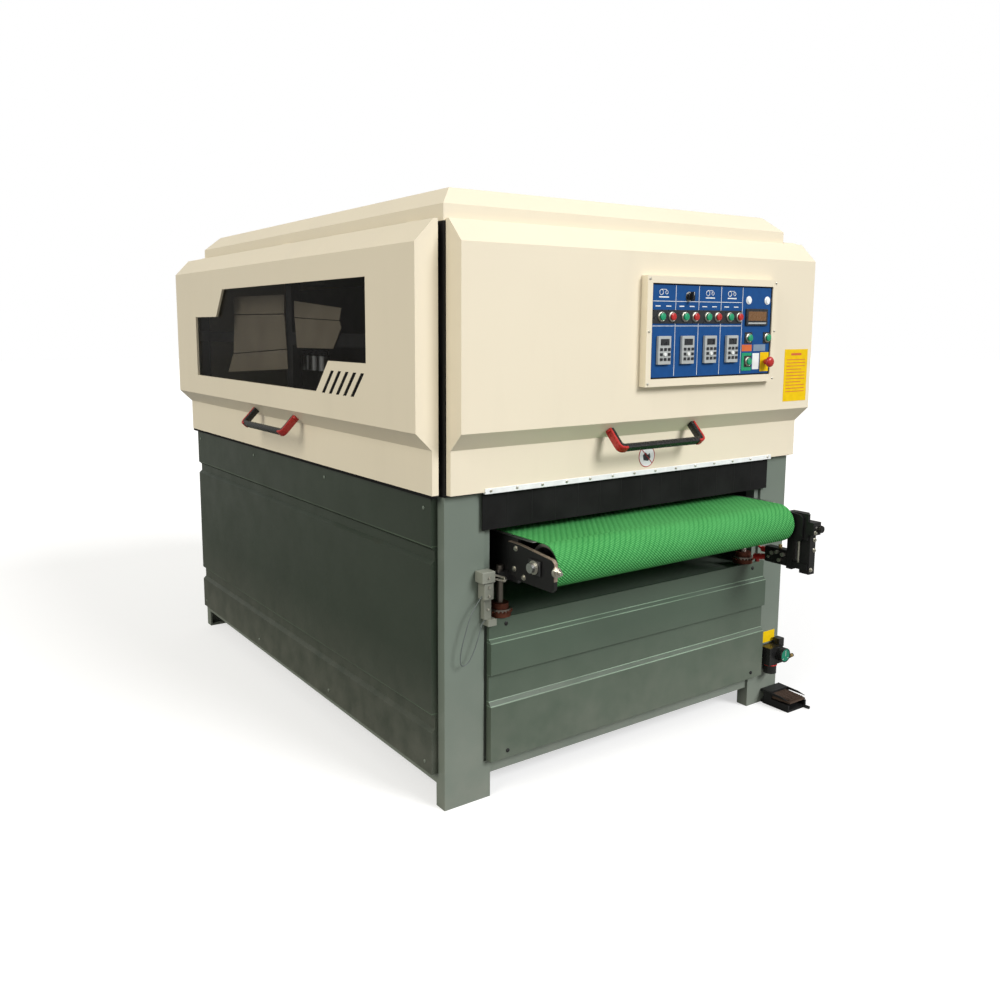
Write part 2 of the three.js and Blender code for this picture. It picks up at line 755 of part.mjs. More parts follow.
// The table inside the belt loop: side rails, top plate, ribs, four lift nuts
// and the two rear arms that hold the drive roller.
function tableBed() {
  const rail = [sideRailX, sideRailX + sideRailThickness];
  const bedTop = tableTop - beltThickness - 0.5;
  const bedBottom = bedTop - 6;
  const ribBottom = conveyorAxisZ - 40;
  const railEnd = 1225;
  const parts = [
    box([-rail[1], rail[1]], [-railEnd, railEnd], [bedBottom, bedTop]),
    box(rail, [-railEnd, railEnd], [liftNutBottom, bedTop]),
    box([-rail[1], -rail[0]], [-railEnd, railEnd], [liftNutBottom, bedTop]),
  ];
  for (const y of [-1150, -620, -40, 540, 1130]) {
    parts.push(box([-rail[0] - 1, rail[0] + 1], [y, y + 20], [ribBottom, bedBottom + 1]));
  }
  const holes = [];
  for (const sx of [-1, 1]) {
    const arm = [sx * rail[0], sx * (rail[1] + 12)].sort((a, b) => a - b);
    parts.push(box(arm, [jackY + 50, 1385], [790, 865]));
    holes.push(cylinder("x", 19, arm[0] - 5, arm[1] + 5, [conveyorAxisY, conveyorAxisZ], 20));
    const nut = [sx * (rail[1] - 1), sx * (jackX + 28)].sort((a, b) => a - b);
    for (const y of [-jackY, jackY]) {
      parts.push(box(nut, [y - 30, y + 30], [liftNutBottom, liftNutTop]));
      holes.push(cylinder("z", screwRadius + 1, liftNutBottom - 5, liftNutTop + 5, [sx * jackX, y], 20));
    }
  }
  return subtract(union(parts), holes);
}

// Front bearing plate of the idler roller: tapered, with the roller's axle slot.
function frontBearingPlate() {
  const x0 = -sideRailX - sideRailThickness - 12 - gap;
  const outline = [
    [-1424, 776], [-1424, 856], [-1412, 867], [-1250, 884], [-1190, 884], [-1190, 783],
    [-1240, 764], [-1412, 764],
  ];
  const slot = box([x0 - 5, x0 + 20], [-conveyorAxisY - 26, -conveyorAxisY + 26], [808.5, 846.5]);
  return prism(outline, "x", x0, x0 + 12).subtract(slot);
}

// The belt tracking unit on the front right: stacked guide blocks with an adjusting knob,
// two hanging bars with a rod between them, and the air valve block behind.
function trackingBracket() {
  const x0 = sideRailX + sideRailThickness + 12 + 2 * gap;
  return union([
    box([x0, x0 + 12], [-1440, -1352], [770, 872]),
    box([x0, x0 + 34], [-1421, -1352], [840, 872]),
    box([x0, x0 + 46], [-1464, -1396], [793, 842]),
    cylinder("y", 12, -reach, -1460, [x0 + 28, 818], 20),
    box([x0, x0 + 30], [-1377, -1352], [645, 790]),
    box([x0 + 10, x0 + 44], [-1446, -1404], [637, 795]),
    cylinder("z", 7, 665, 795, [x0 + 24, -1390], 16),
    box([x0 + 4, x0 + 26], [-1440, -1250], [652, 676]),
    box([x0, x0 + 34], [-1350, -1252], [655, 715]),
  ]);
}

// Worm gear motor on the drive roller shaft, rear right, motor hanging down.
function feedGearmotor() {
  const x0 = sideRailX + sideRailThickness + 12 + gap;
  const housing = union([
    box([x0, x0 + 104], [conveyorAxisY - 66, conveyorAxisY + 66], [760, 892]),
    cylinder("z", 62, 520, 765, [x0 + 52, conveyorAxisY], 28),
    cylinder("z", 68, 740, 762, [x0 + 52, conveyorAxisY], 28),
    box([x0 + 14, x0 + 90], [conveyorAxisY + 40, reach], [610, 700]),
  ]);
  return housing.subtract(cylinder("x", 19, x0 - 5, x0 + 60, [conveyorAxisY, conveyorAxisZ], 20));
}

// A lift screw with its chain sprocket.
function jackScrew(x, y) {
  return union([
    cylinder("z", screwRadius, deckTop + gap, screwTop, [x, y], 16),
    cylinder("z", sprocketRadius - 8, sprocketBottom, sprocketTop, [x, y], 20),
    cylinder("z", sprocketRadius, sprocketBottom + 8, sprocketBottom + 26, [x, y], 20),
  ]);
}

function addTable() {
  const rollerRadius = conveyorRadius - beltThickness - gap;
  addPart("table_bed", tableBed(), darkSteel);
  const belt = beltLoop(
    [-conveyorAxisY, conveyorAxisZ], [conveyorAxisY, conveyorAxisZ],
    conveyorRadius - beltThickness, conveyorRadius - beltThickness,
    beltThickness, beltHalfWidth, 20,
  );
  addPart("conveyor_belt", belt, beltGreen);
  const idler = roller(rollerRadius, 576, 10, 16, 640, -conveyorAxisY, conveyorAxisZ);
  addPart("conveyor_idler_roller", idler, steel);
  const drive = roller(rollerRadius, 576, 10, 16, 640, conveyorAxisY, conveyorAxisZ);
  addPart("conveyor_drive_roller", drive, darkSteel);
  addPart("table_left_bearing_plate", frontBearingPlate(), blackPaint);
  addPart("table_right_bearing_plate", mirrorX(frontBearingPlate()), blackPaint);
  addPart("belt_tracking_bracket", trackingBracket(), blackPaint);
  addPart("feed_gearmotor", feedGearmotor(), motorGrey);
  const corners = [[-jackX, -jackY], [jackX, -jackY], [-jackX, jackY], [jackX, jackY]];
  corners.forEach(([x, y], i) => {
    addPart(`jack_screw_${i + 1}`, jackScrew(x, y), chainBrown);
  });
}

// ---------------------------------------------------------------- air unit and foot switch

// Compressed-air unit on the right-hand post: a body with a filter bowl below it,
// a gauge in front and a hose nozzle on the right.
function airRegulator() {
  const face = -halfDepth - gap;
  const back = face - 30;
  const nozzleZ = 182;
  return union([
    box([728, 812], [face - 54, face], [178, 252]),
    cylinder("z", 26, 138, 180, [764, back], 24),
    cylinder("y", 30, face - 78, face - 50, [798, 218], 28),
    cylinder("x", 14, 808, 846, [back, nozzleZ], 20),
    cylinder("x", 8, 840, 912, [back, nozzleZ], 16),
    cylinder("x", 11, 872, 886, [back, nozzleZ], 6),
    box([804, 836], [face - 40, face - 8], [240, 276]),
  ]);
}

const pedalX = [748, 866];
const pedalHingeY = -1192;
const pedalHingeZ = 36;

function footSwitchBase() {
  const [x0, x1] = pedalX;
  return union([
    box([x0, x1], [-1300, -1178], [0, 10]),
    box([x0, x0 + 8], [-1300, -1178], [0, 30]),
    box([x1 - 8, x1], [-1300, -1178], [0, 30]),
    box([x0, x0 + 8], [-1215, -1178], [0, 50]),
    box([x1 - 8, x1], [-1215, -1178], [0, 50]),
    box([x0, x1], [-1182, -1174], [0, 30]),
    box([x0 + 5, x0 + 50], [-1180, -halfDepth - gap], [0, 10]),
  ]);
}

function footPedal() {
  const [x0, x1] = pedalX;
  const outline = [
    [pedalHingeY - 110, 36], [pedalHingeY - 108, 42], [pedalHingeY - 20, 48],
    [pedalHingeY + 6, 46], [pedalHingeY + 6, 32], [pedalHingeY - 14, 32],
  ];
  return prism(outline, "x", x0 + 9, x1 - 9);
}

function addAccessories() {
  addPart("air_regulator", airRegulator(), blackPaint);
  addPart("foot_switch_base", footSwitchBase(), blackPaint);
  addPart("foot_pedal", footPedal(), blackRubber);
}

// ---------------------------------------------------------------- build

addPart("base_frame", baseFrame(), greyGreen);
addPart("head_frame", upperFrame(), blackPaint);
addPart("dust_hood", dustHood(), galvanised);
addCovers();
addControls();
addTable();
addHeads();
addMotors();
addAccessories();

export default machine;
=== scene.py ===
# A detailed wide-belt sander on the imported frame. Metres, +Z up, origin on the floor.
import math

import bmesh
import bpy
from mathutils import Matrix, Vector


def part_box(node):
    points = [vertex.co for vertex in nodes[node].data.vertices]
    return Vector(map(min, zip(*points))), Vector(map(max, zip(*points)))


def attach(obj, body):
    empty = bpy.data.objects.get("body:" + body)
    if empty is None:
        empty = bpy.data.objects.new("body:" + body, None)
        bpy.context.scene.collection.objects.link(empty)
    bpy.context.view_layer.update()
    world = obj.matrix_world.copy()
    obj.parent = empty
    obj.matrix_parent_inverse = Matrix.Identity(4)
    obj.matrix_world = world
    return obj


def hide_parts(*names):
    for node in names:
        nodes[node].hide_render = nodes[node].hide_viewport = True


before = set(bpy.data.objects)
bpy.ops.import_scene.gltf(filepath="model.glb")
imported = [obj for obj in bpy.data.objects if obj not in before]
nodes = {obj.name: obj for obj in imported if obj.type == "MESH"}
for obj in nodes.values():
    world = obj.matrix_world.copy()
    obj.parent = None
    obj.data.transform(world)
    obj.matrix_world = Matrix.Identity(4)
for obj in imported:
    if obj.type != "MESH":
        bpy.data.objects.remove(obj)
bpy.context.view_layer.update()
scene = bpy.context.scene


# ---------------- shader helpers

def shader_of(material):
    return material.node_tree.nodes["Principled BSDF"]


def feed(material, socket, value):
    """Link another node's output to a socket, or set the socket to a plain value."""
    if isinstance(value, bpy.types.NodeSocket):
        material.node_tree.links.new(value, socket)
    elif socket.type == "RGBA":
        socket.default_value = (*value, 1.0)
    else:
        socket.default_value = value


def feed_shader(material, name, value):
    feed(material, shader_of(material).inputs[name], value)


def new_material(name, color, roughness, metallic=0.0, specular=0.5, coat=0.0):
    material = bpy.data.materials.new(name)
    material.use_nodes = True
    feed_shader(material, "Base Color", color)
    feed_shader(material, "Roughness", roughness)
    feed_shader(material, "Metallic", metallic)
    feed_shader(material, "Specular IOR Level", specular)
    feed_shader(material, "Coat Weight", coat)
    return material


def add_node(material, kind, **inputs):
    node = material.node_tree.nodes.new(kind)
    for key, value in inputs.items():
        feed(material, node.inputs[key.replace("_", " ")], value)
    return node


def coordinates(material, scale=(1, 1, 1), source="Object"):
    place = add_node(material, "ShaderNodeTexCoord").outputs[source]
    return add_node(material, "ShaderNodeMapping", Vector=place, Scale=scale).outputs["Vector"]


def height_above_floor(material):
    place = add_node(material, "ShaderNodeTexCoord").outputs["Object"]
    return add_node(material, "ShaderNodeSeparateXYZ", Vector=place).outputs["Z"]


def noise(material, scale, detail=3.0, stretch=(1, 1, 1)):
    vector = coordinates(material, stretch)
    return add_node(material, "ShaderNodeTexNoise", Vector=vector, Scale=scale, Detail=detail).outputs["Fac"]


def ramp(material, source, stops):
    node = add_node(material, "ShaderNodeValToRGB", Fac=source)
    elements = node.color_ramp.elements
    while len(elements) < len(stops):
        elements.new(0.5)
    for element, (position, color) in zip(elements, stops):
        element.position = position
        element.color = (*color, 1.0)
    return node.outputs["Color"]


def shade(color, factor):
    return tuple(min(1.0, channel * factor) for channel in color)


def grey(value):
    return (value, value, value)


def mix_color(material, factor, first, second):
    node = material.node_tree.nodes.new("ShaderNodeMix")
    node.data_type = "RGBA"
    for index, value in ((0, factor), (6, first), (7, second)):
        feed(material, node.inputs[index], value)
    return node.outputs[2]


def math_node(material, operation, first, second=0.0):
    node = material.node_tree.nodes.new("ShaderNodeMath")
    node.operation = operation
    feed(material, node.inputs[0], first)
    feed(material, node.inputs[1], second)
    return node.outputs[0]


def bump(material, height, strength, distance):
    """One layer of relief, on top of any that the material already has."""
    normal = shader_of(material).inputs["Normal"]
    node = add_node(material, "ShaderNodeBump", Strength=strength, Distance=distance, Height=height)
    if normal.links:
        feed(material, node.inputs["Normal"], normal.links[0].from_socket)
    feed(material, normal, node.outputs["Normal"])


def vary(material, color, spread, scale, stretch=(1, 1, 1)):
    """Large soft patches of slightly lighter and darker colour."""
    stops = [(0.35, shade(color, 1.0 - spread)), (0.65, shade(color, 1.0 + spread))]
    patches = ramp(material, noise(material, scale, 4.0, stretch), stops)
    feed_shader(material, "Base Color", patches)
    return patches


def vary_roughness(material, low, high, scale, stretch=(1, 1, 1)):
    stops = [(0.3, grey(low)), (0.7, grey(high))]
    feed_shader(material, "Roughness", ramp(material, noise(material, scale, 5.0, stretch), stops))


# ---------------- materials

CREAM = (0.80, 0.72, 0.565)
GREY_GREEN = (0.165, 0.200, 0.168)
# Darker than the posts' green: partly a different paint, partly painted shade on the kick panels.
PANEL_GREEN = (0.074, 0.104, 0.076)
# Painted shade: the side panels use a much darker copy of the panel green, darkened for the shade on the
# machine's sides.
SHADED_SIDE_GREEN = (0.026, 0.038, 0.025)
DUST = (0.30, 0.29, 0.25)
DUST_TOP = 0.5
# Painted highlights: heights and half widths of thin lighter lines on the panel creases, standing in for
# light caught by the folds.
KICK_PAINTED_HIGHLIGHTS = ((0.3272, 0.0014), (0.3415, 0.0011), (0.5445, 0.0012), (0.5560, 0.0012), (0.4340, 0.0008))
SIDE_PAINTED_HIGHLIGHTS = ((0.3260, 0.0013), (0.8840, 0.0013))


def dusty(material, clean):
    """Dust that gathers towards the floor: none above DUST_TOP, most at the floor."""
    height = height_above_floor(material)
    spread = add_node(material, "ShaderNodeMapRange", Value=height, From_Min=DUST_TOP, From_Max=0.0)
    amount = math_node(material, "MULTIPLY", spread.outputs[0], noise(material, 14.0, 6.0))
    return mix_color(material, math_node(material, "MULTIPLY", amount, 0.5), clean, DUST)


def cream_paint():
    material = new_material("cream_powder_coat", CREAM, 0.42, specular=0.45, coat=0.12)
    patches = vary(material, CREAM, 0.018, 1.1)
    streaks = noise(material, 9.0, 3.0, (1.0, 1.0, 0.15))
    soil = ramp(material, streaks, [(0.55, grey(0.0)), (0.85, grey(0.10))])
    feed_shader(material, "Base Color", mix_color(material, soil, patches, shade(CREAM, 0.72)))
    vary_roughness(material, 0.36, 0.48, 6.0)
    bump(material, noise(material, 900.0, 2.0), 0.12, 0.0004)
    bump(material, noise(material, 3.2, 2.0), 0.10, 0.004)
    return material


def enamel(name, color, highlight_lines=()):
    """Dark machine enamel. highlight_lines are the (height, half width) of creases given a painted
    highlight, a lighter line for the light the folds catch.
    """
    material = new_material(name, color, 0.36, specular=0.35, coat=0.12)
    painted = dusty(material, vary(material, color, 0.07, 2.2))
    if highlight_lines:
        # Painted highlight: the crease lines are lightened 3.4 times.
        painted = mix_color(material, painted_highlight_mask(material, highlight_lines), painted, shade(color, 3.4))
    feed_shader(material, "Base Color", painted)
    vary_roughness(material, 0.28, 0.46, 7.0)
    bump(material, noise(material, 700.0, 2.0), 0.16, 0.0004)
    bump(material, noise(material, 2.6, 2.0), 0.12, 0.004)
    return material


def painted_highlight_mask(material, highlight_lines):
    """1 on thin, broken lines at the given heights, 0 elsewhere: the mask of the painted highlight lines."""
    level = height_above_floor(material)
    total = 0.0
    for height, half in highlight_lines:
        away = math_node(material, "ABSOLUTE", math_node(material, "SUBTRACT", level, height))
        total = math_node(material, "ADD", math_node(material, "LESS_THAN", away, half), total)
    broken = ramp(material, noise(material, 3.0, 6.0), [(0.30, grey(0.25)), (0.62, grey(0.95))])
    return math_node(material, "MULTIPLY", total, broken)


def plain_paint(name, color, roughness):
    material = new_material(name, color, roughness, specular=0.4)
    vary(material, color, 0.10, 9.0)
    vary_roughness(material, roughness - 0.07, roughness + 0.10, 18.0)
    bump(material, noise(material, 800.0, 2.0), 0.14, 0.0003)
    return material


def metal(name, color, roughness, stretch=(1, 1, 1), scale=60.0):
    """Bare metal; stretch draws its marks out along the axes with the smaller numbers."""
    material = new_material(name, color, roughness, metallic=1.0)
    vary(material, color, 0.08, scale, stretch)
    vary_roughness(material, roughness - 0.10, roughness + 0.12, scale * 1.6, stretch)
    bump(material, noise(material, scale * 4, 3.0, stretch), 0.08, 0.0004)
    return material


def plastic(name, color, roughness, specular=0.5):
    material = new_material(name, color, roughness, specular=specular)
    vary(material, color, 0.05, 40.0)
    vary_roughness(material, roughness - 0.06, roughness + 0.08, 90.0)
    bump(material, noise(material, 1200.0, 2.0), 0.10, 0.0002)
    return material


def glowing(name, color, strength):
    material = plastic(name, color, 0.25)
    feed_shader(material, "Emission Color", color)
    feed_shader(material, "Emission Strength", strength)
    return material


def rubber(name, color):
    material = new_material(name, color, 0.72, specular=0.12)
    vary(material, color, 0.25, 7.0)
    vary_roughness(material, 0.62, 0.85, 12.0)
    bump(material, noise(material, 500.0, 3.0), 0.25, 0.0004)
    return material


def conveyor_belting():
    """Rough-top woven belting. The mesh carries UV in metres: U round the belt, V across."""
    dark, light, worn = (0.019, 0.185, 0.040), (0.115, 0.470, 0.142), (0.095, 0.40, 0.125)
    material = new_material("green_belting", light, 0.82, specular=0.10)
    slanted = add_node(
        material, "ShaderNodeMapping", Vector=coordinates(material, source="UV"),
        Rotation=(0, 0, math.radians(38)),
    ).outputs["Vector"]
    waves = []
    for direction, scale in (("X", 42.0), ("Y", 17.0)):
        wave = add_node(material, "ShaderNodeTexWave", Vector=slanted, Scale=scale, Distortion=0.8,
                        Detail=1.5, Detail_Scale=3.0)
        wave.bands_direction = direction
        waves.append(wave.outputs["Fac"])
    weave = math_node(material, "MULTIPLY", waves[0], math_node(material, "ADD", waves[1], 0.45))
    threads = ramp(material, weave, [(0.18, dark), (0.80, light)])
    wear = ramp(material, noise(material, 5.0, 6.0), [(0.30, grey(0.0)), (0.75, grey(0.45))])
    feed_shader(material, "Base Color", mix_color(material, wear, threads, worn))
    bump(material, weave, 0.75, 0.0022)
    bump(material, noise(material, 260.0, 4.0), 0.30, 0.0012)
    return material


def grainy(name, color, roughness, specular, scale, detail, stops, strength, depth):
    """Abrasive grit or bristles: one noise gives both the colour and the relief."""
    material = new_material(name, color, roughness, specular=specular)
    grain = noise(material, scale, detail)
    shades = [(position, shade(color, factor)) for position, factor in stops]
    feed_shader(material, "Base Color", ramp(material, grain, shades))
    bump(material, grain, strength, depth)
    return material


def smoked_acrylic():
    material = new_material("smoked_acrylic", (0.004, 0.003, 0.002), 0.06, specular=0.15)
    feed_shader(material, "Alpha", 0.28)
    smears = noise(material, 5.0, 5.0, (1, 1, 2.5))
    feed_shader(material, "Roughness", ramp(material, smears, [(0.4, grey(0.04)), (0.8, grey(0.13))]))
    return material


def plain_floor():
    """Pale to look at, and darker for the light it throws back up at the machine."""
    material = new_material("studio_floor", (0.90, 0.90, 0.90), 0.8, specular=0.1)
    seen = add_node(material, "ShaderNodeLightPath").outputs["Is Camera Ray"]
    feed_shader(material, "Base Color", mix_color(material, seen, (0.26, 0.26, 0.25), grey(0.55)))
    feed_shader(material, "Emission Color", grey(1.0))
    feed_shader(material, "Emission Strength", math_node(material, "MULTIPLY", seen, 0.55))
    return material


def family(make, looks):
    """One material of a kind for each named look."""
    return {name: make(name, *look) for name, look in looks.items()}


M = {
    "cream": cream_paint(),
    "grey_green": enamel("grey_green_enamel", GREY_GREEN),
    "kick_green": enamel("kick_panel_enamel", PANEL_GREEN, KICK_PAINTED_HIGHLIGHTS),
    # Side panels: darker copy of the green as painted shade, with painted highlight lines.
    "shaded_side_green": enamel("side_panel_enamel_painted_shade", SHADED_SIDE_GREEN, SIDE_PAINTED_HIGHLIGHTS),
    "belting": conveyor_belting(),
    "window": smoked_acrylic(),
    "floor": plain_floor(),
    "abrasive": grainy("abrasive_cloth", (0.16, 0.065, 0.030), 0.92, 0.35, 1500.0, 2.0,
                       [(0.35, 0.6), (0.7, 1.7)], 0.8, 0.0008),
    "brush": grainy("brush_fibre", (0.23, 0.165, 0.07), 0.9, 0.5, 180.0, 3.0,
                    [(0.3, 0.35), (0.65, 1.5)], 0.9, 0.004),
    **family(plain_paint, {
        "black_paint": ((0.007, 0.007, 0.0075), 0.46),
        "motor_enamel": ((0.085, 0.105, 0.115), 0.45),
        "inner_guard": ((0.33, 0.285, 0.215), 0.6),
        "switch_grey": ((0.24, 0.25, 0.21), 0.45),
    }),
    **family(metal, {
        "ground_steel": ((0.56, 0.56, 0.55), 0.32, (1, 8, 8)),
        "zinc_plate": ((0.62, 0.60, 0.53), 0.36),
        "oiled_steel": ((0.10, 0.10, 0.105), 0.42, (1, 6, 6)),
        "turned_aluminium": ((0.74, 0.75, 0.76), 0.30, (1, 10, 10)),
        "brass": ((0.66, 0.47, 0.19), 0.30),
        "galvanised_sheet": ((0.56, 0.58, 0.58), 0.45, (1, 1, 1), 14.0),
        "greased_screw": ((0.28, 0.25, 0.22), 0.38, (1, 1, 30)),
        "rusty_sprocket": ((0.15, 0.055, 0.036), 0.65),
        # Pinkish bright metal for the bearing-plate edges: partly worn steel, partly a painted highlight.
        "worn_edge": ((0.50, 0.40, 0.33), 0.45),
    }),
    **family(rubber, {
        "black_rubber": ((0.010, 0.010, 0.010),),
        "pedal_tread": ((0.060, 0.040, 0.030),),
        "door_seal": ((0.006, 0.006, 0.006),),
    }),
    **family(plastic, {
        "panel_blue": ((0.008, 0.068, 0.235), 0.55, 0.15),
        "panel_white": ((0.80, 0.82, 0.82), 0.4),
        "panel_dark": ((0.020, 0.022, 0.026), 0.3),
        "panel_grey": ((0.42, 0.44, 0.44), 0.4),
        "red_plastic": ((0.45, 0.022, 0.020), 0.28),
        "green_plastic": ((0.012, 0.30, 0.14), 0.28),
        "black_plastic": ((0.012, 0.012, 0.012), 0.26),
        "yellow_label": ((0.80, 0.53, 0.004), 0.6, 0.12),
        "orange_label": ((0.62, 0.13, 0.03), 0.45),
        "grey_label": ((0.20, 0.27, 0.36), 0.45),
        "gauge_green": ((0.010, 0.20, 0.12), 0.2),
        "grey_wire": ((0.10, 0.12, 0.115), 0.4),
        "red_hose": ((0.50, 0.03, 0.035), 0.35),
    }),
    **family(glowing, {
        "lamp_white": ((0.75, 0.77, 0.78), 0.15),
        "display_amber": ((0.17, 0.085, 0.035), 0.10),
    }),
}


# ---------------- mesh helpers

def add_box(mesh, low, high):
    low, high = Vector(low), Vector(high)
    made = bmesh.ops.create_cube(mesh, size=1.0)
    bmesh.ops.scale(mesh, vec=high - low, verts=made["verts"])
    bmesh.ops.translate(mesh, vec=(high + low) / 2, verts=made["verts"])


def sorted_box(first, second):
    return ([min(a, b) for a, b in zip(first, second)], [max(a, b) for a, b in zip(first, second)])


def axis_matrix(direction):
    return Vector(direction).to_track_quat("Z", "Y").to_matrix().to_4x4()


def turns(count):
    """The cosine and sine of each of count even steps round a circle."""
    angles = [2 * math.pi * k / count for k in range(count)]
    return [(math.cos(angle), math.sin(angle)) for angle in angles]


def add_rod(mesh, start, end, radius, segments=24, end_radius=None):
    start, end = Vector(start), Vector(end)
    made = bmesh.ops.create_cone(
        mesh, cap_ends=True, segments=segments, radius1=radius,
        radius2=radius if end_radius is None else end_radius, depth=(end - start).length,
    )
    matrix = Matrix.Translation((start + end) / 2) @ axis_matrix(end - start)
    bmesh.ops.transform(mesh, matrix=matrix, verts=made["verts"])


def add_ring(mesh, centre, direction, radius, thickness, segments=28, sides=10):
    """A torus round an axis."""
    matrix = Matrix.Translation(Vector(centre)) @ axis_matrix(direction)
    section = [(radius + thickness * c, thickness * s) for c, s in turns(sides)]
    rows = [
        [mesh.verts.new(matrix @ Vector((out * c, out * s, up))) for out, up in section]
        for c, s in turns(segments)
    ]
    for i, a in enumerate(rows):
        b = rows[(i + 1) % segments]
        for j in range(sides):
            k = (j + 1) % sides
            mesh.faces.new((a[j], b[j], b[k], a[k]))


def add_prism(mesh, outline, axis, start, end):
    """An outline of points extruded along an axis: (y, z) points along x, or (x, z) along y."""
    def wall(along):
        return [mesh.verts.new((along, a, b) if axis == "x" else (a, along, b)) for a, b in outline]
    first, last = wall(start), wall(end)
    mesh.faces.new(first)
    mesh.faces.new(list(reversed(last)))
    for i in range(len(outline)):
        j = (i + 1) % len(outline)
        mesh.faces.new((first[j], first[i], last[i], last[j]))


def round_edges(piece, bevel):
    for polygon in piece.data.polygons:
        polygon.use_smooth = True
    if bevel > 0:
        modifier = piece.modifiers.new("edges", "BEVEL")
        modifier.width = bevel
        modifier.segments = 2
        modifier.limit_method = "ANGLE"
        modifier.angle_limit = math.radians(28)
        modifier.harden_normals = True
    else:
        piece.data.set_sharp_from_angle(angle=math.radians(32))


def finish_mesh(name, mesh, body, material, bevel=0.0):
    """Turn a finished bmesh into a named piece that rides on a body of the frame."""
    bmesh.ops.recalc_face_normals(mesh, faces=mesh.faces)
    data = bpy.data.meshes.new(name)
    mesh.to_mesh(data)
    mesh.free()
    piece = bpy.data.objects.new(name, data)
    scene.collection.objects.link(piece)
    data.materials.append(M[material])
    round_edges(piece, bevel)
    if body:
        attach(piece, body)
    return piece


def boxes(name, body, material, corners, bevel=0.0008):
    mesh = bmesh.new()
    for low, high in corners:
        add_box(mesh, low, high)
    return finish_mesh(name, mesh, body, material, bevel)


def rods(name, body, material, spans, bevel=0.0005, segments=24):
    mesh = bmesh.new()
    for start, end, radius in spans:
        add_rod(mesh, start, end, radius, segments)
    return finish_mesh(name, mesh, body, material, bevel)


def ring(name, body, material, centre, direction, radius, thickness, segments):
    mesh = bmesh.new()
    add_ring(mesh, centre, direction, radius, thickness, segments, 8)
    return finish_mesh(name, mesh, body, material)


def prisms(name, body, material, outlines, axis, start, end, bevel=0.0):
    mesh = bmesh.new()
    for outline in outlines:
        add_prism(mesh, outline, axis, start, end)
    return finish_mesh(name, mesh, body, material, bevel)


def bolts(name, body, places, direction, radius, height, washer=True):
    """Hexagon-head bolts on washers; direction is the way the heads point."""
    out = Vector(direction).normalized()
    mesh = bmesh.new()
    for place in places:
        foot = Vector(place)
        if washer:
            add_rod(mesh, foot, foot + out * height * 0.22, radius * 1.45, 24)
        add_rod(mesh, foot + out * height * 0.2, foot + out * height, radius, 6)
    return finish_mesh(name, mesh, body, "zinc_plate", 0.0005)


def button_screws(name, body, places, direction, radius, height, material="zinc_plate"):
    """Round-head socket screws: a domed head with a hexagon recess."""
    out = Vector(direction).normalized()
    mesh = bmesh.new()
    for place in places:
        foot = Vector(place)
        add_rod(mesh, foot, foot + out * height * 0.55, radius, 20)
        add_rod(mesh, foot + out * height * 0.55, foot + out * height, radius, 20, radius * 0.55)
        add_ring(mesh, foot + out * height * 0.98, out, radius * 0.36, radius * 0.12, 6, 6)
    return finish_mesh(name, mesh, body, material)


def middle_of(name):
    """A node's middle on x and on z, and its foremost y."""
    low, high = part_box(name)
    return (low.x + high.x) / 2, (low.z + high.z) / 2, low.y


# ---------------- frame materials

def paint_frame():
    plan = {
        "cream": (["front_door", "left_door", "right_door", "rear_cover", "top_cover"], 0.0025),
        "grey_green": (["base_frame"], 0.0022),
        "kick_green": (["front_kick_panel", "rear_kick_panel"], 0.0030),
        "shaded_side_green": (["left_side_panel", "right_side_panel"], 0.0025),
        "black_paint": (["head_frame", "table_left_bearing_plate", "table_right_bearing_plate",
                         "belt_tracking_bracket", "foot_switch_base"], 0.0015),
        "pedal_tread": (["foot_pedal"], 0.0015),
        "black_plastic": (["air_regulator"], 0.0015),
        "oiled_steel": (["table_bed", "conveyor_drive_roller"], 0.001),
        "ground_steel": (["conveyor_idler_roller", "contact_drum_1", "contact_drum_2"], 0.001),
        "turned_aluminium": (["tension_roller_1", "tension_roller_2"], 0.001),
        "motor_enamel": (["feed_gearmotor", "belt_motor_1", "belt_motor_2", "brush_motor"], 0.002),
        "galvanised_sheet": (["dust_hood"], 0.001),
        "abrasive": (["abrasive_belt_1", "abrasive_belt_2"], 0.0),
        "black_rubber": (["infeed_curtain", "outfeed_curtain", "pressure_roller_infeed",
                          "pressure_roller_middle"], 0.0008),
        "brush": (["brush_roller"], 0.0),
        "window": (["left_door_window"], 0.0),
        "panel_blue": (["control_plate"], 0.0004),
        "greased_screw": ([f"jack_screw_{i}" for i in (1, 2, 3, 4)], 0.0008),
    }
    for material, (names, bevel) in plan.items():
        for name in names:
            paint_node(name, material, bevel)
    paint_node("control_bezel", "cream", 0.0018)


def paint_node(name, material, bevel):
    piece = nodes[name]
    piece.data.materials.clear()
    piece.data.materials.append(M[material])
    round_edges(piece, bevel)


# ---------------- conveyor belt

def belt_loop_path(axis_y, steps):
    """The belt's loop as (axis y, cos, sin) of each point round its two half circles."""
    path = []
    for end in (-1, 1):
        start = -end * math.pi / 2
        for i in range(steps + 1):
            angle = start + math.pi * i / steps
            path.append((end * axis_y, math.cos(angle), math.sin(angle)))
    return path


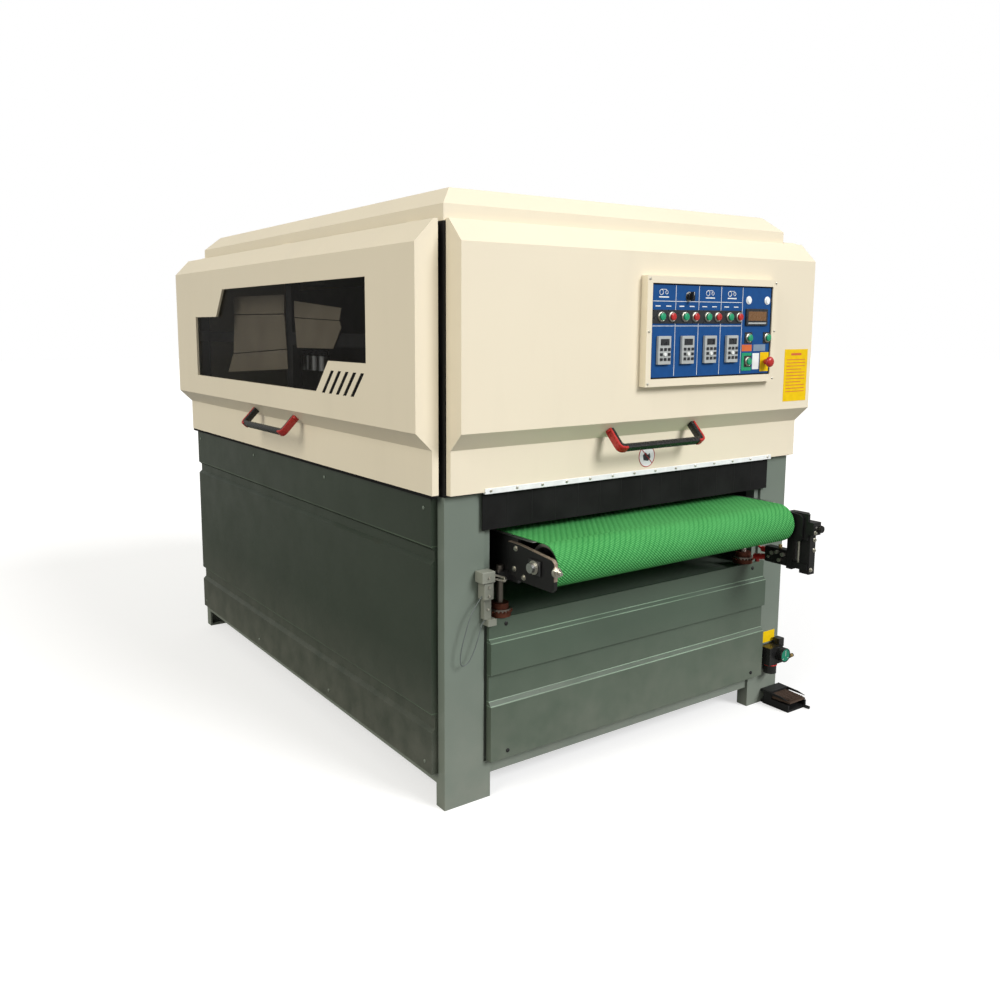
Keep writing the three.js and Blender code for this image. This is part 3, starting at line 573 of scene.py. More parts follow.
def build_conveyor_belt():
    """A smooth loop with rounded edges and UV in metres for the weave."""
    low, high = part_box("conveyor_belt")
    radius = (high.z - low.z) / 2
    axis_z = (high.z + low.z) / 2
    axis_y = high.y - radius
    thickness = 0.003
    half = high.x
    crown = 0.0012
    columns = [-half, -half + crown, -half * 0.5, 0.0, half * 0.5, half - crown, half]
    sinks = [crown, 0.0, 0.0, 0.0, 0.0, 0.0, crown]
    widths = columns + list(reversed(columns))
    depths = sinks + [thickness] * len(columns)
    mesh = bmesh.new()
    uv = mesh.loops.layers.uv.new("weave")
    rings = []
    travel = [0.0]
    previous = None
    for centre_y, c, s in belt_loop_path(axis_y, 28):
        point = Vector((centre_y + radius * c, axis_z + radius * s))
        if previous is not None:
            travel.append(travel[-1] + (point - previous).length)
        previous = point
        rings.append([
            mesh.verts.new((x, centre_y + (radius - sink) * c, axis_z + (radius - sink) * s))
            for x, sink in zip(widths, depths)
        ])
    travel.append(travel[-1] + 2 * axis_y)
    for i, a in enumerate(rings):
        b = rings[(i + 1) % len(rings)]
        for j in range(len(a)):
            k = (j + 1) % len(a)
            face = mesh.faces.new((a[j], b[j], b[k], a[k]))
            corners = ((travel[i], j), (travel[i + 1], j), (travel[i + 1], k), (travel[i], k))
            for loop, (along, column) in zip(face.loops, corners):
                loop[uv].uv = (along, widths[column])
    belt = finish_mesh("conveyor_belt_woven", mesh, "table", "belting")
    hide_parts("conveyor_belt")


# ---------------- door handles

def rounded_path(points, radius, steps=6):
    """A polyline with its inner corners turned on an arc."""
    path = [Vector(points[0])]
    for i in range(1, len(points) - 1):
        corner = Vector(points[i])
        before = (Vector(points[i - 1]) - corner).normalized()
        after = (Vector(points[i + 1]) - corner).normalized()
        start, end = corner + before * radius, corner + after * radius
        for k in range(steps + 1):
            t = k / steps
            path.append(start * (1 - t) ** 2 + corner * 2 * t * (1 - t) + end * t ** 2)
    path.append(Vector(points[-1]))
    return path


def add_sweep(mesh, path, width, depth, side):
    """A rounded-rectangle section swept along a path; side is the section's width direction."""
    side = Vector(side).normalized()
    power, sides = 0.35, 16
    rows = []
    for i, point in enumerate(path):
        ahead = path[min(i + 1, len(path) - 1)] - path[max(i - 1, 0)]
        normal = side.cross(ahead).normalized()
        row = []
        for c, s in turns(sides):
            a = math.copysign(abs(c) ** power, c) * width / 2
            b = math.copysign(abs(s) ** power, s) * depth / 2
            row.append(mesh.verts.new(point + side * a + normal * b))
        rows.append(row)
    for a, b in zip(rows[:-1], rows[1:]):
        for j in range(sides):
            k = (j + 1) % sides
            mesh.faces.new((a[j], a[k], b[k], b[j]))
    mesh.faces.new(rows[0])
    mesh.faces.new(list(reversed(rows[-1])))


def build_handle(node, body, middle, along, out):
    """A black bridge handle with red end covers, standing off a chamfer.
    middle is the chamfer's mid point, along the handle's direction, out the chamfer's normal."""
    along, out = Vector(along), Vector(out).normalized()
    cross = along.cross(out).normalized()
    foot = Vector(middle) + out * 0.0006
    half, rise = 0.200, 0.078
    ends = [foot - along * half, foot - along * half + out * rise,
            foot + along * half + out * rise, foot + along * half]
    path = rounded_path(ends, 0.020)
    mesh = bmesh.new()
    add_sweep(mesh, path, 0.0255, 0.0205, cross)
    bar = finish_mesh(f"{node}_bar", mesh, body, "black_plastic")
    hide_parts(node)
    for sign, word in ((-1, "near"), (1, "far")):
        outer = foot + along * sign * (half + 0.0075)
        points = [outer, outer + out * (rise + 0.0065), outer - along * sign * 0.030 + out * (rise + 0.0065)]
        cover_path = rounded_path(points, 0.021)
        mesh = bmesh.new()
        add_sweep(mesh, cover_path, 0.0285, 0.0095, cross)
        add_rod(mesh, outer + out * 0.002, outer + out * 0.010, 0.012, 16)
        finish_mesh(f"{node}_{word}_cover", mesh, body, "red_plastic")


def build_handles():
    face, band, slope_top, slope_bottom = 0.083, 0.024, 1.252, 1.195
    middle_out = (face + band) / 2
    middle_z = (slope_top + slope_bottom) / 2
    out_part, down_part = slope_top - slope_bottom, face - band
    front_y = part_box("front_door")[1].y
    side_x = -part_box("left_door")[1].x
    low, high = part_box("left_door")
    middle_y = (low.y + high.y) / 2
    build_handle(
        "front_door_handle", "front_door", (0, front_y - middle_out, middle_z),
        (1, 0, 0), (0, -out_part, -down_part),
    )
    for sign, node, body in ((-1, "left_door_handle", "left_door"), (1, "right_door_handle", "right_door")):
        build_handle(
            node, body, (sign * (side_x + middle_out), middle_y, middle_z),
            (0, 1, 0), (sign * out_part, 0, -down_part),
        )


# ---------------- control panel

COLUMNS = 4
COLUMN_WIDTH = 0.117
STRIP_DEPTH = 0.0022
INK = 0.0006
BUTTON_KINDS = ("start", "stop")
SINGLE_BUTTONS = ("table_up_button", "table_down_button", "power_button")
Y_OUT = (0, -1, 0)


def flat_plate(mesh, x0, x1, z0, z1, front, depth):
    add_box(mesh, (x0, front - depth, z0), (x1, front, z1))


def door_plates(name, material, front, spans, bevel=0.0):
    """Thin plates on the front door: spans of (x0, x1, z0, z1, depth), standing out from front."""
    mesh = bmesh.new()
    for x0, x1, z0, z1, depth in spans:
        flat_plate(mesh, x0, x1, z0, z1, front, depth)
    return finish_mesh(name, mesh, "front_door", material, bevel)


def y_rod(mesh, x, z, back, front, radius, segments, end_radius=None):
    """A rod along y from back to front at (x, z)."""
    add_rod(mesh, (x, back, z), (x, front, z), radius, segments, end_radius)


def panel_button(node, material):
    """A dished cap on a thin stem."""
    radius = 0.0126
    x, z, front = middle_of(node)
    mesh = bmesh.new()
    y_rod(mesh, x, z, front + 0.0042, front + 0.0012, radius, 28)
    y_rod(mesh, x, z, front + 0.0012, front, radius, 28, radius * 0.82)
    add_ring(mesh, (x, front + 0.0012, z), Y_OUT, radius * 0.86, 0.0011, 28, 8)
    y_rod(mesh, x, z, front + 0.026, front + 0.0038, 0.0046, 12)
    cap = finish_mesh(f"{node}_cap", mesh, node, material)
    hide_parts(node)


def build_buttons(front):
    """The caps of the buttons, and the raised rims behind them."""
    rims = bmesh.new()
    rim_radius, rim_back, rim_depth = 0.0170, front - STRIP_DEPTH, 0.0035
    names = [f"{kind}_button_{i}" for i in (1, 2, 3, 4) for kind in BUTTON_KINDS]
    for name in names + list(SINGLE_BUTTONS):
        x, z, _ = middle_of(name)
        y_rod(rims, x, z, rim_back, rim_back - rim_depth, rim_radius, 28)
        add_ring(rims, (x, rim_back - rim_depth, z), Y_OUT, rim_radius - 0.0022, 0.0018, 28, 8)
        panel_button(name, "red_plastic" if name.startswith("stop") else "green_plastic")
    for name in ("selector_knob", "estop_button"):
        x, z, _ = middle_of(name)
        y_rod(rims, x, z, front, front - 0.0006, rim_radius, 28)
    finish_mesh("button_rims", rims, "front_door", "zinc_plate")


def build_estop():
    """A turned mushroom head, from its crown back to its neck, on a thin stem."""
    x, z, front = middle_of("estop_button")
    profile = [(0.0, 0.0), (0.008, 0.0004), (0.0145, 0.0022), (0.0185, 0.0058), (0.0198, 0.0100),
               (0.0188, 0.0150), (0.0125, 0.0165), (0.0110, 0.0190), (0.0110, 0.0300), (0.0, 0.0300)]
    count = 32
    mesh = bmesh.new()
    rings = []
    for radius, depth in profile:
        steps = turns(count) if radius else [(0.0, 0.0)]
        rings.append([mesh.verts.new((x + radius * c, front + depth, z + radius * s)) for c, s in steps])
    for a, b in zip(rings[:-1], rings[1:]):
        for k in range(count):
            m = (k + 1) % count
            corners = [a[k % len(a)], b[k % len(b)], b[m % len(b)], a[m % len(a)]]
            mesh.faces.new(list(dict.fromkeys(corners)))
    y_rod(mesh, x, z, front + 0.050, front + 0.029, 0.0046, 12)
    mushroom = finish_mesh("estop_mushroom", mesh, "estop_button", "red_plastic")
    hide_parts("estop_button")


def build_selector():
    """A knob with a pointed grip across it, and a white mark."""
    x, z, front = middle_of("selector_knob")
    mesh = bmesh.new()
    y_rod(mesh, x, z, front + 0.023, front + 0.012, 0.0135, 32)
    add_prism(mesh, [
        (x - 0.0045, z - 0.0155), (x + 0.0045, z - 0.0155), (x + 0.0055, z - 0.004),
        (x + 0.0040, z + 0.0165), (x - 0.0040, z + 0.0165), (x - 0.0055, z - 0.004),
    ], "y", front, front + 0.0135)
    y_rod(mesh, x, z, front + 0.036, front + 0.022, 0.0046, 12)
    knob = finish_mesh("selector_handle", mesh, "selector_knob", "black_plastic", 0.0012)
    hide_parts("selector_knob")
    boxes("selector_mark", "selector_knob", "panel_white",
          [((x - 0.0008, front - 0.0003, z + 0.004), (x + 0.0008, front + 0.001, z + 0.015))], 0.0002)


def build_switch_strip(front, left):
    """The black strip that carries the start and stop buttons, and a holder for each single one."""
    half = 0.021
    end = left + COLUMN_WIDTH * COLUMNS
    spans = [(left + 0.004, end - 0.004, 1.5855, 1.6325, STRIP_DEPTH)]
    for x, bottom in ((0.435, 1.512), (0.540, 1.512), (0.435, 1.425)):
        spans.append((x - half, x + half, bottom, bottom + 2 * half, STRIP_DEPTH))
    door_plates("switch_strip", "panel_dark", front, spans, 0.0010)


def build_panel_gasket(front, low, high):
    """The dark gap between the blue plate and the bezel round it."""
    gap, depth = 0.0045, 0.0012
    door_plates("panel_gasket", "door_seal", front, [
        (low.x, high.x, low.z, low.z + gap, depth),
        (low.x, high.x, high.z - gap, high.z, depth),
        (low.x, low.x + gap, low.z + gap, high.z - gap, depth),
        (high.x - gap, high.x, low.z + gap, high.z - gap, depth),
    ])


def build_keypads(front, left):
    """One inverter keypad in each column: a housing, a screen, eight keys and a dial."""
    bottom, top, width, thickness = 1.445, 1.543, 0.062, 0.011
    face, dial_z = front - thickness, top - 0.063
    housings, screens, keys = [], [], []
    dials = bmesh.new()
    for i in range(COLUMNS):
        x0 = left + COLUMN_WIDTH * i + 0.028
        x1 = x0 + width
        middle = (x0 + x1) / 2
        housings.append((x0, x1, bottom, top, thickness))
        screens.append((x0 + 0.010, x1 - 0.010, top - 0.032, top - 0.010, 0.0012))
        for row in range(3):
            for k in range(3):
                if k == 1 and row == 1:
                    continue
                x, z = x0 + 0.014 + 0.019 * k, top - 0.046 - 0.017 * row
                keys.append((x - 0.006, x + 0.006, z - 0.005, z + 0.005, 0.0022))
        y_rod(dials, middle, dial_z, face, front - 0.0155, 0.0062, 20)
    door_plates("keypad_housings", "panel_grey", front, housings, 0.0018)
    door_plates("keypad_screens", "panel_dark", face, screens, 0.0004)
    door_plates("keypad_keys", "panel_dark", face, keys, 0.0006)
    finish_mesh("keypad_dials", dials, "front_door", "panel_white", 0.0006)


def build_panel_print(front, low, high):
    """White rules, blank title blocks and simple icons printed on the blue plate."""
    line, icon_z, title = 0.0018, 1.692, (1.6435, 1.6470)
    right = low.x + COLUMN_WIDTH * COLUMNS
    mesh = bmesh.new()
    for i in range(1, COLUMNS + 1):
        x = low.x + COLUMN_WIDTH * i
        flat_plate(mesh, x - line / 2, x + line / 2, low.z + 0.008, high.z - 0.006, front, INK)
    for z in (1.661, 1.5765):
        flat_plate(mesh, low.x + 0.006, right - 0.004, z, z + line, front, INK)
    centres = [low.x + COLUMN_WIDTH * (i + 0.5) for i in range(COLUMNS)]
    for x in centres:
        flat_plate(mesh, x - 0.040, x - 0.016, *title, front, INK)
        flat_plate(mesh, x + 0.012, x + 0.036, *title, front, INK)
    for x in (centres[0], centres[2], centres[3]):
        for side, radius in ((-0.013, 0.009), (0.013, 0.006)):
            add_ring(mesh, (x + side, front - INK / 2, icon_z), (0, 1, 0), radius, 0.0011, 20, 6)
        flat_plate(mesh, x - 0.013, x + 0.013, icon_z + 0.009, icon_z + 0.0105, front, INK)
        flat_plate(mesh, x - 0.024, x + 0.024, icon_z - 0.018, icon_z - 0.014, front, INK)
    finish_mesh("panel_print", mesh, "front_door", "panel_white")


def build_right_section(front, x0, x1):
    """Display, lamps and the plates under the power and emergency buttons."""
    lamp_z = 1.671
    lamps = bmesh.new()
    for x in (x0 + 0.034, x1 - 0.027):
        y_rod(lamps, x, lamp_z, front, front - 0.006, 0.0125, 24, 0.0105)
        add_ring(lamps, (x, front - 0.001, lamp_z), Y_OUT, 0.0135, 0.0018, 24, 8)
    finish_mesh("indicator_lamps", lamps, "front_door", "lamp_white")
    display = front - 0.006
    for name, material, back, left, right, bottom, top, depth, bevel in (
        ("display_bezel", "panel_dark", front, x0 + 0.018, x1 - 0.026, 1.578, 1.640, 0.007, 0.0022),
        ("display_glass", "display_amber", display, x0 + 0.028, x1 - 0.036, 1.596, 1.630, 0.0018, 0.0006),
        ("display_strip", "panel_grey", display, x0 + 0.028, x1 - 0.036, 1.584, 1.590, 0.0016, 0.0004),
        ("panel_label_orange", "orange_label", front, x0 + 0.006, x0 + 0.062, 1.484, 1.508, INK, 0.0002),
        ("panel_label_grey", "grey_label", front, x0 + 0.072, x1 - 0.026, 1.484, 1.508, INK, 0.0002),
        ("power_plate", "green_plastic", front, x0 + 0.006, x0 + 0.062, 1.412, 1.478, 0.0014, 0.0006),
        ("panel_label_white", "panel_white", front, x0 + 0.068, x0 + 0.106, 1.416, 1.476, 0.0008, 0.0003),
    ):
        door_plates(name, material, back, [(left, right, bottom, top, depth)], bevel)
    x, z, _ = middle_of("estop_button")
    mesh = bmesh.new()
    y_rod(mesh, x, z, front, front - 0.0012, 0.024, 40)
    flat_plate(mesh, x - 0.024, x + 0.026, z - 0.036, z + 0.036, front, 0.0010)
    finish_mesh("estop_plate", mesh, "front_door", "yellow_label", 0.0004)


def build_control_panel():
    low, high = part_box("control_plate")
    front = low.y
    build_panel_gasket(front, low, high)
    build_switch_strip(front, low.x)
    build_buttons(front)
    build_estop()
    build_selector()
    build_keypads(front, low.x)
    build_panel_print(front, low, high)
    build_right_section(front, low.x + COLUMN_WIDTH * COLUMNS, high.x)
    low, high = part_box("control_bezel")
    inset = 0.011
    corners = [
        (x, low.y, z)
        for x in (low.x + inset, high.x - inset)
        for z in (low.z + inset, (low.z + high.z) / 2, high.z - inset)
    ]
    button_screws("bezel_screws", "front_door", corners, Y_OUT, 0.0045, 0.003)


# ---------------- front door

def build_front_trim():
    low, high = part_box("front_door")
    band_y = high.y - 0.024
    build_curtain_clamp(band_y, low.z)
    build_round_sign(0.010, 1.113, band_y)
    build_yellow_label(low.y)
    build_door_hinges()


def build_curtain_clamp(band_y, bottom):
    """The strip and screws that hold the infeed curtain, and the slits that part its strips."""
    low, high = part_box("infeed_curtain")
    end, margin, screws, slit_step, half = high.x, 0.022, 14, 0.101, 0.0007
    outline = [
        (band_y - 0.0002, bottom + 0.012), (band_y - 0.0035, bottom + 0.0105),
        (band_y - 0.0042, bottom - 0.006), (band_y + 0.0100, bottom - 0.006),
        (band_y + 0.0100, bottom - 0.0012), (band_y - 0.0002, bottom - 0.0012),
    ]
    prisms("curtain_clamp_strip", "front_door", "panel_white", [outline], "x", -end, end,
           0.0005)
    step = 2 * (end - margin) / (screws - 1)
    places = [(-end + margin + step * i, band_y - 0.0040, bottom + 0.004) for i in range(screws)]
    button_screws("clamp_screws", "front_door", places, Y_OUT, 0.0048, 0.0035)
    slits = []
    for i in range(1, 14):
        x = -end + slit_step * i
        slits.append(((x - half, low.y - 0.0006, low.z + 0.002), (x + half, low.y, high.z)))
    boxes("curtain_slits", "front_door", "black_paint", slits, 0.0)


def build_round_sign(x, z, band_y):
    """A plain round sign: white disc, red rim and slanted bar, and a simple glove-like shape."""
    rods("round_sign_disc", "front_door", "panel_white",
         [((x, band_y, z), (x, band_y - 0.0007, z), 0.040)], 0.0002, 48)
    mesh = bmesh.new()
    add_ring(mesh, (x, band_y - 0.0004, z), (0, 1, 0), 0.0385, 0.0016, 48, 8)
    slope = Vector((1, 0, -1)).normalized() * 0.036
    centre = Vector((x, band_y - 0.0008, z))
    add_rod(mesh, centre - slope, centre + slope, 0.0016, 8)
    finish_mesh("round_sign_rim", mesh, "front_door", "red_plastic")
    glove = [
        (x - 0.016, z - 0.014), (x + 0.006, z - 0.018), (x + 0.018, z - 0.006),
        (x + 0.014, z + 0.010), (x + 0.004, z + 0.004), (x - 0.006, z + 0.014), (x - 0.020, z + 0.004),
    ]
    prisms("round_sign_shape", "front_door", "panel_dark", [glove], "y", band_y - 0.0012, band_y - 0.0003)


def build_yellow_label(face_y):
    """A yellow label with plain rules in place of writing; every fourth rule is short."""
    x0, x1, z0, z1 = 0.688, 0.832, 1.282, 1.486
    label, ink = 0.0006, 0.0003
    door_plates("yellow_label", "yellow_label", face_y, [(x0, x1, z0, z1, label)], 0.0002)
    rules = []
    for i in range(11):
        z = z1 - 0.042 - 0.0125 * i
        shorten = 0.022 if i % 4 == 3 else 0.0
        rules.append((x0 + 0.014, x1 - 0.014 - shorten, z, z + 0.0028, ink))
    rules.append((x0 + 0.040, x1 - 0.040, z1 - 0.024, z1 - 0.015, ink))
    door_plates("yellow_label_rules", "orange_label", face_y - label, rules)


def hinge(name, place, along, out, body):
    """A butt hinge on a door's top edge: two leaves, a knuckle and four screws."""
    place, along, out = Vector(place), Vector(along), Vector(out)
    up = Vector((0, 0, 1))
    length = along * 0.038
    mesh = bmesh.new()
    for side in (-1, 1):
        centre = place + out * 0.014 * side
        half = length + out * 0.012
        add_box(mesh, *sorted_box(centre - half, centre + half + up * 0.0022))
    add_rod(mesh, place - length + up * 0.003, place + length + up * 0.003, 0.0042, 16)
    for a in (-0.024, 0.024):
        for b in (-0.016, 0.016):
            foot = place + along * a + out * b + up * 0.0020
            add_rod(mesh, foot, foot + up * 0.0016, 0.0036, 12, 0.0020)
    finish_mesh(name, mesh, body, "cream", 0.0003)


def build_door_hinges():
    """Hinges lie on the roof flange, just behind each door's top edge."""
    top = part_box("front_door")[1].z
    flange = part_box("top_cover")[0]
    for i, x in enumerate((-0.694, 0.668, 0.806)):
        hinge(f"front_hinge_{i + 1}", (x, flange.y + 0.0085, top), (1, 0, 0), (0, -0.28, 0), "frame")
    for i, y in enumerate((-0.985, 0.0, 0.985)):
        for sign, word in ((-1, "left"), (1, "right")):
            place = (sign * -flange.x, y, top)
            hinge(f"{word}_hinge_{i + 1}", place, (0, 1, 0), (sign * 0.28, 0, 0), "frame")


# ---------------- table trim

def build_table_trim():
    """Take-up blocks, axle nuts and bolts on the front bearing plates of the table."""
    low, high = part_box("table_left_bearing_plate")
    idler_low, idler_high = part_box("conveyor_idler_roller")
    axis_y = (idler_low.y + idler_high.y) / 2
    axis_z = (idler_low.z + idler_high.z) / 2
    thickness = 0.007
    for sign, word in ((-1, "left"), (1, "right")):
        face = sign * -low.x
        out = (sign, 0, 0)
        block = sorted_box((face, axis_y - 0.030, axis_z - 0.024),
                           (face + sign * thickness, axis_y + 0.030, axis_z + 0.024))
        boxes(f"{word}_take_up_block", "table", "oiled_steel", [block], 0.002)
        bolts(f"{word}_axle_nut", "table", [(face + sign * thickness, axis_y, axis_z)],
              out, 0.0155, 0.016)
        bolts(f"{word}_plate_bolts", "table",
              [(face, -1.230, 0.867), (face, -1.223, 0.798), (face, -1.273, 0.780)],
              out, 0.0065, 0.006)
        if sign < 0:
            build_tip_bolt(word, sign * (abs(low.x) + abs(high.x)) / 2, low.y)
            build_plate_edges(face, low, high)
    build_edge_guides()


def build_tip_bolt(word, x, tip):
    """The tensioning screw in the nose of a bearing plate."""
    z = 0.830
    mesh = bmesh.new()
    add_rod(mesh, (x, tip + 0.002, z), (x, tip - 0.006, z), 0.0165, 24)
    add_rod(mesh, (x, tip - 0.005, z), (x, tip - 0.016, z), 0.0125, 6)
    add_rod(mesh, (x, tip - 0.016, z), (x, tip - 0.026, z), 0.0065, 16)
    finish_mesh(f"{word}_take_up_bolt", mesh, "table", "zinc_plate", 0.0006)


def build_plate_edges(face, low, high):
    """Bright pinkish metal along the top edge and round the nose of the left bearing plate: partly worn
    steel, partly a painted highlight for the light the edges catch.
    """
    top = [(low.y + 0.012, 0.8674), (low.y + 0.174, 0.8844), (high.y, 0.8844),
           (high.y, 0.8822), (low.y + 0.174, 0.8822), (low.y + 0.012, 0.8652)]
    nose = [(low.y - 0.0006, 0.800), (low.y - 0.0006, 0.857), (low.y + 0.012, 0.8674),
            (low.y + 0.014, 0.8655), (low.y + 0.0016, 0.856), (low.y + 0.0016, 0.800)]
    prisms("left_plate_edge_wear_and_highlight", "table", "worn_edge", [top, nose], "x", face - 0.0008, face + 0.012)


def build_edge_guides():
    """Flat steel strips along the table beside the belt."""
    belt_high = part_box("conveyor_belt")[1]
    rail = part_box("table_left_bearing_plate")[1].x
    for sign, word in ((-1, "left"), (1, "right")):
        inner = sign * (belt_high.x + 0.003)
        outer = sign * (-rail - 0.001)
        low, high = sorted_box((inner, -1.300, 0.8968), (outer, 1.220, 0.8990))
        strip = boxes(f"{word}_belt_guide", "table", "ground_steel", [(low, high)], 0.0006)


# ---------------- small fittings

def build_limit_switch():
    """The table-height limit switch on the front left post, with its roller arm and wire."""
    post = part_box("base_frame")[0].y
    boxes("limit_switch_head", "frame", "switch_grey", [
        ((-0.729, post - 0.046, 0.758), (-0.677, post - 0.002, 0.796)),
        ((-0.717, post - 0.040, 0.701), (-0.679, post - 0.002, 0.757)),
    ], 0.003)
    boxes("limit_switch_leg", "frame", "switch_grey", [
        ((-0.705, post - 0.022, 0.630), (-0.676, post - 0.0005, 0.700)),
        ((-0.696, post - 0.034, 0.608), (-0.662, post - 0.0005, 0.631)),
    ], 0.002)
    arm_y = post - 0.034
    rods("limit_switch_arm", "frame", "zinc_plate", [
        ((-0.684, arm_y, 0.784), (-0.640, arm_y, 0.768), 0.0036),
        ((-0.684, arm_y, 0.770), (-0.640, arm_y, 0.756), 0.0036),
        ((-0.641, arm_y, 0.762), (-0.632, arm_y, 0.758), 0.0100),
    ])
    bolts("limit_switch_screws", "frame", [
        (-0.703, post - 0.046, 0.777), (-0.698, post - 0.040, 0.743), (-0.698, post - 0.040, 0.714),
        (-0.690, post - 0.022, 0.664),
    ], Y_OUT, 0.0045, 0.004, washer=False)
    build_switch_wire(post)


def build_switch_wire(post):
    """The thin wire that loops down from the limit switch and back to its bracket."""
    y = post - 0.026
    knots = [(-0.714, y, 0.716), (-0.742, y - 0.004, 0.690), (-0.766, y - 0.006, 0.655),
             (-0.785, y - 0.006, 0.605), (-0.800, y - 0.004, 0.550), (-0.802, y - 0.002, 0.510),
             (-0.790, y, 0.494), (-0.768, y, 0.504), (-0.748, y, 0.535), (-0.730, y, 0.580),
             (-0.714, y + 0.004, 0.618), (-0.688, y + 0.012, 0.634)]
    free_cord("limit_switch_wire", "frame", "grey_wire", knots, 0.0036)


def free_cord(name, body, material, knots, diameter):
    """A round cord along a smooth line through the knots, with both ends in the machine."""
    points = smooth_path(knots, 3)
    data = bpy.data.curves.new(name, "CURVE")
    data.dimensions = "3D"
    data.bevel_depth = diameter / 2
    data.bevel_resolution = 4
    data.use_fill_caps = True
    spline = data.splines.new("POLY")
    spline.points.add(len(points) - 1)
    for place, point in zip(spline.points, points):
        place.co = (*point, 1.0)
    data.materials.append(M[material])
    cord = bpy.data.objects.new(name, data)
    scene.collection.objects.link(cord)
    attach(cord, body)


def smooth_path(knots, steps):
    """A Catmull-Rom line through the knots, with the given number of steps between them."""
    line = [Vector(knot) for knot in knots]
    line = [line[0] * 2 - line[1]] + line + [line[-1] * 2 - line[-2]]
    points = []
    for a, b, c, d in zip(line, line[1:], line[2:], line[3:]):
        for k in range(steps):
            t = k / steps
            points.append(0.5 * (2 * b + (c - a) * t + (2 * a - 5 * b + 4 * c - d) * t * t
                                 + (3 * b - a - 3 * c + d) * t * t * t))
    points.append(line[-2])
    return points


def build_jacks():
    """Screw threads and sprocket teeth, riding on the lift screws."""
    for i in (1, 2, 3, 4):
        low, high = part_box(f"jack_screw_{i}")
        x, y = (low.x + high.x) / 2, (low.y + high.y) / 2
        mesh = bmesh.new()
        for step in range(15):
            add_ring(mesh, (x, y, 0.672 + 0.005 * step), (0, 0, 1), 0.0121, 0.0009, 24, 6)
        finish_mesh(f"jack_thread_{i}", mesh, f"jack_{i}", "greased_screw")
        mesh = bmesh.new()
        for c, s in turns(18):
            out = Vector((c, s, 0))
            foot = Vector((x, y, 0.641)) + out * 0.0365
            add_rod(mesh, foot, foot + out * 0.007, 0.0048, 8, 0.0026)
        add_rod(mesh, (x, y, 0.6236), (x, y, 0.6400), 0.0386, 40, 0.0384)
        add_rod(mesh, (x, y, 0.6404), (x, y, 0.6684), 0.0306, 36, 0.0304)
        finish_mesh(f"jack_sprocket_teeth_{i}", mesh, f"jack_{i}", "rusty_sprocket")


def build_tracking_bracket():
    """The knob, bolts and air fittings on the belt-tracking bracket at the front right."""
    x0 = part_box("belt_tracking_bracket")[0].x
    knob = Vector((x0 + 0.028, -1.4700, 0.818))
    mesh = bmesh.new()
    add_rod(mesh, knob + Vector((0, 0.0060, 0)), knob, 0.0170, 24, 0.0150)
    for c, s in turns(10):
        ridge = knob + Vector((c, 0, s)) * 0.0120
        add_rod(mesh, ridge, ridge + Vector(Y_OUT) * 0.0130, 0.0022, 8)
    finish_mesh("tracking_knob_grip", mesh, "table", "black_plastic")
    rods("tracking_rod", "table", "zinc_plate",
         [((x0 + 0.024, -1.390, 0.668), (x0 + 0.024, -1.390, 0.792), 0.0078)])
    bolts("tracking_bolts", "table", [
        (x0 + 0.010, -1.4215, 0.856), (x0 + 0.012, -1.4645, 0.804), (x0 + 0.036, -1.4465, 0.770),
        (x0 + 0.036, -1.4465, 0.730), (x0 + 0.020, -1.4465, 0.655),
    ], Y_OUT, 0.0060, 0.006)
    ports = []
    for y, z, proud, radius in (
        (-1.338, 0.696, 0.011, 0.0085), (-1.312, 0.702, 0.013, 0.0070), (-1.288, 0.694, 0.010, 0.0090),
        (-1.324, 0.672, 0.012, 0.0075), (-1.272, 0.676, 0.008, 0.0060),
    ):
        ports.append(((x0 + 0.001, y, z), (x0 - proud, y, z), radius))
    rods("tracking_valve_ports", "table", "zinc_plate", ports, segments=12)
    rods("tracking_fittings", "table", "brass", [
        ((x0 + 0.012, -1.350, 0.700), (x0 + 0.012, -1.362, 0.700), 0.0075),
        ((x0 + 0.026, -1.350, 0.672), (x0 + 0.026, -1.364, 0.672), 0.0065),
        ((x0 + 0.017, -1.310, 0.714), (x0 + 0.017, -1.310, 0.728), 0.0070),
    ])
    rods("tracking_push_fittings", "table", "red_plastic", [
        ((x0 + 0.017, -1.2515, 0.694), (x0 + 0.017, -1.226, 0.694), 0.0115),
        ((x0 + 0.012, -1.2515, 0.668), (x0 + 0.010, -1.196, 0.658), 0.0120),
        ((x0 + 0.010, -1.210, 0.660), (x0 + 0.010, -1.210, 0.640), 0.0080),
    ])
    free_cord("tracking_air_tube", "table", "red_hose", [
        (x0 + 0.0170, -1.2270, 0.694), (x0 + 0.0160, -1.2165, 0.697), (x0 + 0.0135, -1.2080, 0.705),
        (x0 + 0.0090, -1.2035, 0.716), (x0 + 0.0035, -1.2030, 0.728), (x0 - 0.0020, -1.2045, 0.740),
        (x0 - 0.0070, -1.2070, 0.753),
    ], 0.0080)


